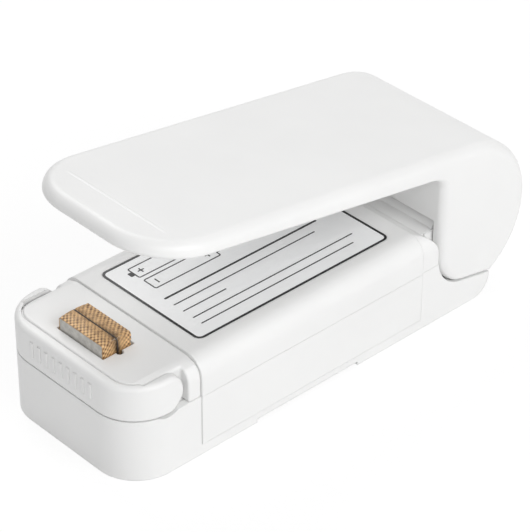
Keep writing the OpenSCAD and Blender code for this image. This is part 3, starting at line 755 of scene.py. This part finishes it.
GRIP_MARGIN = 2
GRIP_STEPS = 3
SWING_STEPS = 10
SWING_SIDES = 96
SHOULDER_GAP = 0.08
SHOULDER_DROP = 0.3
SHOULDER_ROOT = 0.7
SHOULDER_STEPS = 16
STUB_ROOM = 1.9


def axle(r, x0, x1):
    """Round bar on the guard's pivot."""
    return across(circle(GUARD_AXIS, r), x0, x1)


def deck_edge(x):
    """Front edge of the deck, whose plan corners are round."""
    d = max(0, min(abs(x), DECK_HALF) - DECK_HALF + DECK_CORNER_R)
    return DECK_FRONT + DECK_CORNER_R - math.sqrt(DECK_CORNER_R ** 2 - d * d)


def deck_top(x):
    """Height of the deck, whose sides slope away."""
    fall = (1 - math.sin(DECK_SLOPE)) / math.cos(DECK_SLOPE)
    return DECK_TOP - fall * max(0, abs(x) - BODY_HALF + DECK_EDGE_R)


def swing_r(x):
    """Radius about the guard's pivot that clears the deck's edge."""
    return math.hypot(GUARD_Y - deck_edge(x), DECK_TOP - GUARD_Z) + 2 * SEAT


def swing_stations():
    """Places across the deck where its edge turns."""
    turns = [math.pi / 2 * i / SWING_STEPS for i in range(SWING_STEPS + 1)]
    right = [DECK_HALF - DECK_CORNER_R * (1 - math.sin(t)) for t in turns]
    return [-x for x in reversed(right)] + right


def deck_cover():
    rear = DECK_LEN + CLEAR
    high = DECK_TOP + CLEAR
    plan = round_front(DECK_HALF, DECK_FRONT, rear, DECK_CORNER_R, DECK_CORNER_STEPS)
    columns = bar(-BODY_HALF - CLEAR, BODY_HALF + CLEAR, COLUMN_Y, rear, SEAM_Z - CLEAR, high)
    turn = (BODY_HALF - DECK_EDGE_R, DECK_TOP - DECK_EDGE_R)
    side = arc(turn, DECK_EDGE_R, 0, DECK_SLOPE, DECK_SIDE_STEPS)
    side = mirrored([(BODY_HALF, SEAM_Z)] + side + [(turn[0], DECK_TOP)])
    arch = stacked([[(x, y, z) for x, z in side] for y in (0, DECK_LEN)])
    lip = round_front(LIP_HALF, LIP_FRONT, DECK_LEN - SEAT, LIP_CORNER_R)
    ear_rooms = merged(*[axle(EAR_ROOM_R, s * DECK_HALF, s * (HALF_W + CLEAR)) for s in (-1, 1)])
    hollow = round_front(DECK_HALF - DECK_WALL, DECK_FRONT + DECK_WALL, rear, DECK_CORNER_R - DECK_WALL)
    dx, dy = WINDOW_HALF
    wire_holes = merged(*[upright(circle((s * WIRE_HOLE_X, HEATER_Y), WIRE_HOLE_R), SEAM_Z, high)
                          for s in (-1, 1)])
    mesh = worked(
        temporary(upright(plan, SEAM_Z - CLEAR, high)),
        ("UNION", columns), ("INTERSECT", arch), ("ROUND", DECK_ROUND),
        ("UNION", upright(lip, DECK_LOW, SEAM_Z + SEAT)), ("DIFFERENCE", ear_rooms),
        ("DIFFERENCE", upright(hollow, DECK_LOW - CLEAR, DECK_UNDER)),
        ("DIFFERENCE", bar(-dx, dx, HEATER_Y - dy, HEATER_Y + dy, SEAM_Z, high)),
        ("DIFFERENCE", wire_holes), ("DIFFERENCE", axle(STUB_R + SEAT, -HALF_W, HALF_W)))
    moulded("deck_cover", mesh, white, "base", "heater_deck")


def guard_side(low):
    """Side view of the guard, its ears on a necked foot that runs down to low."""
    foot = -math.asin((GUARD_Z - GUARD_LOW) / GUARD_EAR_R)
    brow = math.asin((DECK_TOP - GUARD_Z) / GUARD_EAR_R)
    ear = arc(GUARD_AXIS, GUARD_EAR_R, foot, brow, GUARD_EAR_STEPS)
    reach = GUARD_EAR_R + NECK_R
    turn = (GUARD_Y + reach * math.cos(foot), GUARD_Z + reach * math.sin(foot))
    neck = arc(turn, NECK_R, math.pi, math.pi + foot, NECK_STEPS)
    return [(-CLEAR, low), (neck[0][0], low)] + neck[:-1] + ear + [(-CLEAR, DECK_TOP)]


def swing_room():
    """Space that the deck and its shoulder take up inside the guard as it turns."""
    rings = []
    for x in [-ARM_IN] + swing_stations() + [ARM_IN]:
        r = swing_r(x)
        rings.append([(x, GUARD_Y + r * math.cos(a), GUARD_Z + r * math.sin(a))
                      for a in full_turn(SWING_SIDES)])
    return stacked(rings)


def grip_ribs():
    ribs = []
    for k in range(GRIP_COUNT):
        x = GRIP_SPAN * (k / (GRIP_COUNT - 1) - 0.5)
        plan = round_rect(x - GRIP_W / 2, x + GRIP_W / 2, -GRIP_H, GRIP_H, GRIP_H / 2, GRIP_STEPS)
        ribs.append(upright(plan, GUARD_LOW + GRIP_MARGIN, DECK_TOP - GRIP_MARGIN))
    return ribs


def guard_cover():
    low = GUARD_LOW - 3 * CLEAR
    high = DECK_TOP + CLEAR
    rear = GUARD_Y + GUARD_EAR_R + CLEAR
    wide = HALF_W + CLEAR
    arm = ARM_IN + SHOULDER_GAP
    stubs = [axle(STUB_R, s * STUB_SPAN[0], s * STUB_SPAN[1]) for s in (-1, 1)]
    mesh = worked(
        temporary(upright(round_front(BODY_HALF, 0, rear, BODY_CORNER_R), low - CLEAR, high)),
        ("INTERSECT", across(guard_side(low), -wide, wide)), ("ROUND", GUARD_ROUND),
        ("DIFFERENCE", bar(-wide, wide, -CLEAR, rear + CLEAR, low - CLEAR, GUARD_LOW)),
        ("DIFFERENCE", swing_room()),
        ("DIFFERENCE", bar(-arm, arm, INNER_Y, rear + CLEAR, low - CLEAR, high)),
        ("UNION", merged(*grip_ribs(), *stubs)))
    moulded("guard_cover", mesh, white, "guard", "safety_guard")


def deck_shoulder():
    rings = []
    for x in swing_stations():
        r = swing_r(x) - SHOULDER_GAP
        top = deck_top(x) - SHOULDER_DROP
        root = deck_edge(x) + SHOULDER_ROOT
        ahead = min(root, GUARD_Y - STUB_ROOM)
        inside = [(ahead, GUARD_LOW), (ahead, GUARD_Z + STUB_ROOM), (root, top - SHOULDER_ROOT), (root, top)]
        first = math.pi - math.asin((top - GUARD_Z) / r)
        last = math.pi + math.asin((GUARD_Z - GUARD_LOW) / r)
        outline = inside + arc(GUARD_AXIS, r, first, last, SHOULDER_STEPS)
        drawn_in = x * (1 - SHOULDER_GAP / DECK_HALF)
        rings.append([(drawn_in, y, z) for y, z in outline])
    piece("deck_shoulder", stacked(rings), white, "base")


deck_cover()
guard_cover()
deck_shoulder()


# Label print: a border, two cells with their poles, and plain rules, each by place, length and width

LABEL_LOW, LABEL_HIGH = box_mm("rating_label")
LABEL_R = 1.5
BORDER = 0.55
PRINT_T = 0.02
PRINT_SINK = 0.01
PRINT_Z = (LABEL_HIGH[2] - PRINT_SINK, LABEL_HIGH[2] + PRINT_T)
PRINT_STEPS = 3
PRINT_SHARP = 30
BLOCK_INSET = 3.9
BLOCK_Y = LABEL_LOW[1] + BLOCK_INSET
RULES = [(0.2, 40, 0.5), (2.9, 37, 0.3), (5.6, 11, 0.3), (8.4, 42, 0.3), (10.8, 40, 0.3)]
RULE_ROUND = 2.2
LINE = 0.3
DIAGRAM_X = (-10.2, -5.4)
DIAGRAM_INSET = 1
DIAGRAM_LEN = 17
DIAGRAM_W = 3.9
DIAGRAM_R = 0.5
TIP_LEN, TIP_HALF, TIP_R, TIP_STEPS = 0.9, 0.7, 0.2, 2
SIGN_INSET = 2
SIGN_REACH = 0.75


def border():
    (x0, y0, _), (x1, y1, _) = LABEL_LOW, LABEL_HIGH
    outer = round_rect(x0, x1, y0, y1, LABEL_R)
    inner = round_rect(x0 + BORDER, x1 - BORDER, y0 + BORDER, y1 - BORDER, LABEL_R - BORDER)
    return frame_of(outer, inner, *PRINT_Z)


def rule(x, length, width):
    x0, x1 = x - width / 2, x + width / 2
    plan = round_rect(x0, x1, BLOCK_Y, BLOCK_Y + length, width / RULE_ROUND, PRINT_STEPS)
    return upright(plan, *PRINT_Z)


def pole_sign(x, y, plus):
    """Plus or minus mark, its bars one line wide."""
    a, b = SIGN_REACH, LINE / 2
    if plus:
        plan = [(a, -b), (a, b), (b, b), (b, a), (-b, a), (-b, b), (-a, b), (-a, -b),
                (-b, -b), (-b, -a), (b, -a), (b, -b)]
    else:
        plan = [(a, -b), (a, b), (-a, b), (-a, -b)]
    return upright([(x + p, y + q) for p, q in plan], *PRINT_Z)


def cell_diagram(x, forward):
    """Outline of a cell, its tip and its two poles; forward is -1 where the tip points to the front."""
    y0 = BLOCK_Y + DIAGRAM_INSET
    y1 = y0 + DIAGRAM_LEN
    half = DIAGRAM_W / 2
    outer = round_rect(x - half, x + half, y0, y1, DIAGRAM_R, PRINT_STEPS)
    inner = round_rect(x - half + LINE, x + half - LINE, y0 + LINE, y1 - LINE, DIAGRAM_R / 2, PRINT_STEPS)
    foot, head = (y0, y1) if forward > 0 else (y1, y0)
    tip = sorted((head, head + forward * TIP_LEN))
    return [frame_of(outer, inner, *PRINT_Z),
            upright(round_rect(x - TIP_HALF, x + TIP_HALF, *tip, TIP_R, TIP_STEPS), *PRINT_Z),
            pole_sign(x, head - forward * SIGN_INSET, True),
            pole_sign(x, foot + forward * SIGN_INSET, False)]


marks = [border()] + [rule(*r) for r in RULES]
marks += cell_diagram(DIAGRAM_X[0], -1) + cell_diagram(DIAGRAM_X[1], 1)
piece("label_print", merged(*marks), ink, "base", sharp=PRINT_SHARP)


# Heater: woven cloth over the block, and the wire in its groove

CLOTH_LOW, CLOTH_HIGH = box_mm("release_cloth")
CLOTH_Y = middle("release_cloth")[1]
CLOTH_LEN = CLOTH_HIGH[1] - CLOTH_LOW[1]
CROWN = 0.35
CROWN_R = (CLOTH_LEN ** 2 / 4 + CROWN ** 2) / (2 * CROWN)
CLOTH_T = 0.2
CLOTH_SHARP = 60
CLOTH_BEND = 0.6
CLOTH_BEND_STEPS = 8
THREAD = 0.5
THREAD_STEPS = 4
THREAD_RISE = 0.05
GROOVE_W = 0.26
GROOVE_DEPTH = 0.38
END_DIP = 0.2
SOOT_W = 0.7
SOOT_LEAST = 0.15
WIRE_D = 0.24
WIRE_BEND = 0.8


def cloth_path(y):
    """The cloth over the block at one y: up the left end, across the top and down the right end."""
    top = CLOTH_HIGH[2] - THREAD_RISE - CROWN_R + math.sqrt(CROWN_R ** 2 - (y - CLOTH_Y) ** 2)
    half = CLOTH_HIGH[0] - THREAD_RISE
    corners = [(-half, y, CLOTH_LOW[2]), (-half, y, top), (half, y, top), (half, y, CLOTH_LOW[2])]
    return bent(corners, CLOTH_BEND, CLOTH_BEND_STEPS)


def along(path, step):
    """Points at even steps along a path, with the length run so far."""
    total = sum((b - a).length for a, b in zip(path, path[1:]))
    count = round(total / step)
    out, done, i = [], 0.0, 0
    for k in range(count + 1):
        goal = total * k / count
        while i < len(path) - 2 and done + (path[i + 1] - path[i]).length < goal:
            done += (path[i + 1] - path[i]).length
            i += 1
        a, b = path[i], path[i + 1]
        out.append((a.lerp(b, (goal - done) / (b - a).length), goal))
    return out


def cloth():
    step = THREAD / THREAD_STEPS
    rows = round(CLOTH_LEN / step)
    points, weave, soot = [], [], []
    for j in range(rows + 1):
        y = CLOTH_LOW[1] + CLOTH_LEN * j / rows
        run = along(cloth_path(y), step)
        dip = math.exp(-((y - CLOTH_Y) / GROOVE_W) ** 2)
        burnt = math.exp(-((y - CLOTH_Y) / SOOT_W) ** 2)
        for i, (p, s) in enumerate(run):
            t = (run[min(i + 1, len(run) - 1)][0] - run[max(i - 1, 0)][0]).normalized()
            out = Vector((-t.z, 0, t.x))
            crown = math.sin(math.pi * s / THREAD) * math.sin(math.pi * (y - CLOTH_Y) / THREAD)
            depth = GROOVE_DEPTH * max(END_DIP, out.z)
            points.append(tuple(p + out * (THREAD_RISE * crown - depth * dip)))
            # The weave value is high on the thread crowns: the cloth's material paints sheen there and shade
            # in the gaps.
            weave.append((1 + crown) / 2)
            soot.append(burnt * min(1, max(SOOT_LEAST, p.x / CLOTH_HIGH[0])))
    n = len(run)
    faces = [(j * n + i, j * n + i + 1, (j + 1) * n + i + 1, (j + 1) * n + i)
             for j in range(rows) for i in range(n - 1)]
    obj = temporary((points, faces))
    for name, values in (("weave", weave), ("soot", soot)):
        obj.data.attributes.new(name, "FLOAT", "POINT").data.foreach_set("value", values)
    obj.modifiers.new("thick", "SOLIDIFY").thickness = CLOTH_T * MM
    make_piece("heater_cloth", baked(obj), cloth_mat, "heater", ["release_cloth"],
               sharp=CLOTH_SHARP)


def heating_wire():
    low = box_mm("heater_wire")[0][2]
    x = CLOTH_HIGH[0] + WIRE_D / 2 - THREAD_RISE
    z = CLOTH_HIGH[2] - GROOVE_DEPTH + WIRE_D / 2
    corners = [(-x, CLOTH_Y, low), (-x, CLOTH_Y, z), (x, CLOTH_Y, z), (x, CLOTH_Y, low)]
    form = tube(bent(corners, WIRE_BEND), WIRE_D)
    piece("heating_wire", form, wire_dark, "heater", ["heater_wire"])


cloth()
heating_wire()


# Springs

COIL_STEPS = 24
COIL_START = math.radians(270)
SPRING_WIRE = 0.8
SPRING_TURNS = 5
SPRING_PITCH = 1.3
SPRING_R = (PIN_D + SPRING_WIRE) / 2 + GAP + SEAT
SPRING_HALF = SPRING_TURNS * SPRING_PITCH / 2
SPRING_BEND = 1.0
LEG_OUT = 1.4
LEG_SHORT = 0.9
FOOT_REACH = 7.2
FOOT_DROP = 1.2
COIL_WIRE = 0.6
HEATER_COIL_R, HEATER_COIL_TURNS, HEATER_TRAVEL = 1.8, 4, 1.5
CELL_COIL_WIDE, CELL_COIL_NARROW, CELL_COIL_TURNS = 4, 2.2, 3
CELL_ROOM, CELL_TRAVEL = 4.8, 2.0


def hinge_spring():
    """Torsion spring on the hinge pin: one leg on the body, the other up to the lever."""
    turns = []
    for i in range(SPRING_TURNS * COIL_STEPS + 1):
        a = COIL_START - 2 * math.pi * i / COIL_STEPS
        x = SPRING_PITCH * i / COIL_STEPS - SPRING_HALF
        turns.append((x, SPRING_R * math.cos(a), SPRING_R * math.sin(a)))
    leg_y = -SPRING_R - LEG_OUT
    foot = (-SPRING_HALF, GAP + SPRING_WIRE / 2 - FOOT_REACH, -SPRING_R - FOOT_DROP)
    knee = (SPRING_HALF, leg_y, GAP - SPRING_R)
    top = (SPRING_HALF, leg_y, LEVER_RISE * math.cos(LEVER_TILT) - LEG_SHORT)
    path = [foot] + turns[:-2] + bent([turns[-2], knee, top], SPRING_BEND)[1:]
    form = tube([(x, PIVOT_Y + y, PIVOT_Z + z) for x, y, z in path], SPRING_WIRE)
    obj = piece("hinge_spring", form, spring_steel, None, ["lever_spring"])
    start, end = [place(x, PIVOT_Y, PIVOT_Z) for x in (-SPRING_HALF, SPRING_HALF)]
    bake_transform(obj)
    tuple(start)
    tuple(end)


def coil(r0, r1, length, turns, put):
    """Coil from one radius to another; put places a point of it."""
    steps = turns * COIL_STEPS
    path = []
    for f in [i / steps for i in range(steps + 1)]:
        r, a = r0 + (r1 - r0) * f, 2 * math.pi * turns * f
        path.append(put(r * math.cos(a), r * math.sin(a), length * f))
    return tube(path, COIL_WIRE)


def heater_coils():
    low, high = box_mm("heater_springs")
    whole = high[2] - low[2]
    x0 = high[0] - HEATER_COIL_R - COIL_WIRE / 2
    y0 = middle("heater_springs")[1]
    z0 = low[2] + COIL_WIRE / 2
    pair = [coil(HEATER_COIL_R, HEATER_COIL_R, whole - COIL_WIRE, HEATER_COIL_TURNS,
                 lambda a, b, c: (s * x0 + a, y0 + b, z0 + c)) for s in (-1, 1)]
    obj = piece("heater_coils", merged(*pair), spring_steel, "base", ["heater_springs"])
    place(0, y0, low[2])
    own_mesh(obj)


def cell_coil(side, plate_y, way):
    end = (COIL_WIRE + SEAT) / 2
    x, _, z = middle(side + "_cell")
    form = coil(CELL_COIL_WIDE, CELL_COIL_NARROW, CELL_ROOM - 2 * end, CELL_COIL_TURNS,
                lambda a, b, c: (x + a, plate_y + way * (end + c), z + b))
    obj = piece(side + "_cell_coil", form, spring_steel, "base", ["contact_springs"])
    place(x, plate_y, z)
    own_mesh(obj)


hinge_spring()
heater_coils()
cell_coil("left", box_mm("bridge_contact")[0][1], -1)
cell_coil("right", box_mm("right_contact")[1][1], 1)


# Leads inside the body

LEAD_D = 1.1
LEAD_BEND = 1.0
TAB_RISE = 3


def lead(name, side, end_x, end_node, mat):
    """Wire from a cell's contact, along under it and up to the end node."""
    low = box_mm(name)[0]
    x, _, z = middle(side + "_cell")
    y = box_mm(side + "_contact")[0][1] + LEAD_D / 2
    run_z = low[2] + LEAD_D / 2
    end_y = low[1] + LEAD_D / 2
    end_z = box_mm(end_node)[1][2]
    path = [(x, y, z + TAB_RISE - SEAT), (x, y, run_z), (end_x, end_y, run_z), (end_x, end_y, end_z)]
    form = tube(bent(path, LEAD_BEND), LEAD_D)
    piece(name.replace("lead", "cable"), form, mat, "base", [name])


positive_x = box_mm("positive_lead")[1][0] - LEAD_D / 2
negative_x = box_mm("negative_lead")[0][0] + LEAD_D / 2
lead("positive_lead", "left", positive_x, "switch_contact", red_lead)
lead("negative_lead", "right", negative_x, "spring_terminals", black_lead)


# Cells: a steel can in a printed sleeve

NUB_R = 2.75
NUB_RISE = 1
NUB_FOOT = (0.5, 0.15)
NUB_ROUND = 0.3
EYE_R = 0.2
DISH_DEPTH = 0.3
DISH_R = (4.6, 4.9)
CAN_ROUND = 0.5
CAN_FOOT = 0.4
SLEEVE_T = 0.2
SLEEVE_LAP = 0.3
SLEEVE_EDGE = 0.1
BAND_SHARE = 0.68
CELL_SHARP = 50


def cell_pieces(side, way):
    cell = side + "_cell"
    low, high = box_mm(cell)
    x, _, z = middle(cell)
    length = high[1] - low[1]
    r = (high[0] - low[0]) / 2
    can = r - SLEEVE_T
    foot = low[1] if way > 0 else high[1]
    shoulder = length - NUB_RISE

    def put(a, b, h):
        return x + a, foot + way * h, z + b

    profile = [(EYE_R, DISH_DEPTH), (DISH_R[0], DISH_DEPTH), (DISH_R[1], 0), (can - CAN_ROUND, 0),
               (can, CAN_FOOT), (can, shoulder - CAN_ROUND), (can - CAN_ROUND, shoulder),
               (NUB_R + NUB_FOOT[0], shoulder), (NUB_R, shoulder + NUB_FOOT[1]),
               (NUB_R, length - NUB_ROUND), (NUB_R - NUB_ROUND, length), (EYE_R, length)]
    piece(cell + "_can", turned(profile, put), steel, cell, [cell], CELL_SHARP)
    band = BAND_SHARE * length
    parts = (("_sleeve", SLEEVE_LAP, band, sleeve_dark), ("_band", band, shoulder - SLEEVE_LAP, sleeve_pale))
    for name, h0, h1, mat in parts:
        inner, edge = can - SLEEVE_LAP, r - SLEEVE_EDGE
        rings = [(inner, h0), (edge, h0), (r, h0 + SLEEVE_EDGE)]
        rings += [(r, h1 - SLEEVE_EDGE), (edge, h1), (inner, h1)]
        piece(cell + name, turned(rings, put), mat, cell, sharp=CELL_SHARP)


cell_pieces("left", -1)
cell_pieces("right", 1)


# Battery door: grip ribs at its free end

RIB_D = 0.7
RIB_HALF = 6
RIB_PITCH = 1.3
RIB_COUNT = 7
RIB_INSET = 3


def door_grip():
    low, high = box_mm("battery_door")
    places = [high[1] - RIB_INSET - k * RIB_PITCH for k in range(RIB_COUNT)]
    ribs = [tube([(-RIB_HALF, y, low[2]), (RIB_HALF, y, low[2])], RIB_D) for y in places]
    piece("door_grip", merged(*ribs), white, "door")


door_grip()


# Floor and light, in metres

FLOOR_HALF = 4
FLOOR_COLOR = (0.86, 0.86, 0.86)
FLOOR_ROUGH = 0.9
FLOOR_GLOW = 1.06
FLOOR_SHARE = 0.8
PURE_WHITE = (1, 1, 1, 1)
WORLD_LIGHT, WORLD_SEEN = 0.45, 1.0
AIM = Vector((0, 0, 0.02))


def seen_share(tree):
    """1 for a ray that shows the surroundings, straight, in gloss or through glass, and 0 for others."""
    path = tree.nodes.new("ShaderNodeLightPath")
    seen = path.outputs["Is Camera Ray"]
    for ray in ("Is Glossy Ray", "Is Transmission Ray"):
        total = tree.nodes.new("ShaderNodeMath")
        total.operation = "ADD"
        total.use_clamp = True
        tree.links.new(seen, total.inputs[0])
        tree.links.new(path.outputs[ray], total.inputs[1])
        seen = total.outputs[0]
    return seen


def floor_material():
    """Pale floor that stays white to the camera and keeps part of the shadow."""
    mat = new_material("floor", FLOOR_COLOR, FLOOR_ROUGH)
    share = add(mat, "ShaderNodeMath", operation="MULTIPLY")
    share.inputs[1].default_value = FLOOR_SHARE
    glow = add(mat, "ShaderNodeEmission", Color=PURE_WHITE, Strength=FLOOR_GLOW)
    mix = add(mat, "ShaderNodeMixShader")
    join(mat, seen_share(mat.node_tree), share.inputs[0])
    join(mat, share.outputs[0], mix.inputs["Fac"])
    join(mat, bsdf_of(mat).outputs[0], mix.inputs[1])
    join(mat, glow.outputs[0], mix.inputs[2])
    join(mat, mix.outputs[0], mat.node_tree.nodes["Material Output"].inputs["Surface"])
    return mat


floor_mesh = bpy.data.meshes.new("floor")
floor_corners = [(x * FLOOR_HALF, y * FLOOR_HALF, 0) for x, y in ((-1, -1), (1, -1), (1, 1), (-1, 1))]
floor_mesh.from_pydata(floor_corners, [], [(0, 1, 2, 3)])
floor_mesh.materials.append(floor_material())
floor = bpy.data.objects.new("floor", floor_mesh)
scene.collection.objects.link(floor)

world = bpy.data.worlds.new("studio")
world.use_nodes = True
scene.world = world
backdrop = world.node_tree.nodes["Background"]
backdrop.inputs["Color"].default_value = PURE_WHITE
level = world.node_tree.nodes.new("ShaderNodeMapRange")
level.inputs["To Min"].default_value = WORLD_LIGHT
level.inputs["To Max"].default_value = WORLD_SEEN
world.node_tree.links.new(seen_share(world.node_tree), level.inputs["Value"])
world.node_tree.links.new(level.outputs["Result"], backdrop.inputs["Strength"])


def lamp(name, location, size, power):
    data = bpy.data.lights.new(name, "AREA")
    data.shape = "DISK"
    data.size = size
    data.energy = power
    obj = bpy.data.objects.new(name, data)
    obj.location = location
    obj.rotation_euler = (AIM - Vector(location)).to_track_quat("-Z", "Y").to_euler()
    scene.collection.objects.link(obj)


lamp("key", (0.52, 0.05, 0.4), size=0.4, power=1.75)
lamp("fill", (0.38, -0.29, 0.38), size=0.36, power=0.65)
lamp("left", (-0.45, 0.15, 0.5), size=0.4, power=1.35)


# Camera, fitted to the photograph: focal length in pixels, then place in the part's frame

UNIT = 0.916 * MM
FOCAL_PX = 2455.53
FRAME_PX = 532
SENSOR = 36
CLIP = 0.01
EYE_RIGHT, EYE_UP, EYE_BACK = 41.44, 37.0036, 508.384
AZIMUTH, ELEVATION, ROLL = math.radians(47.008), math.radians(34.812), math.radians(0.275)

level_back = math.cos(ELEVATION)
back = Vector((math.sin(AZIMUTH) * level_back, -math.cos(AZIMUTH) * level_back, math.sin(ELEVATION)))
right = Vector((math.cos(AZIMUTH), math.sin(AZIMUTH), 0))
up = back.cross(right)
right, up = math.cos(ROLL) * right + math.sin(ROLL) * up, math.cos(ROLL) * up - math.sin(ROLL) * right
eye = (right * EYE_RIGHT + up * EYE_UP + back * EYE_BACK) * UNIT + Vector((0, FRONT_Y, 0))
camera_data = bpy.data.cameras.new("camera")
camera_data.sensor_fit = "VERTICAL"
camera_data.sensor_height = SENSOR
camera_data.lens = FOCAL_PX * SENSOR / FRAME_PX
camera_data.clip_start = CLIP
camera = bpy.data.objects.new("camera", camera_data)
rows = [(right[i], up[i], back[i], eye[i]) for i in range(3)]
camera.matrix_world = Matrix((*rows, (0, 0, 0, 1)))
scene.collection.objects.link(camera)
scene.camera = camera
scene.view_settings.view_transform = "Standard"
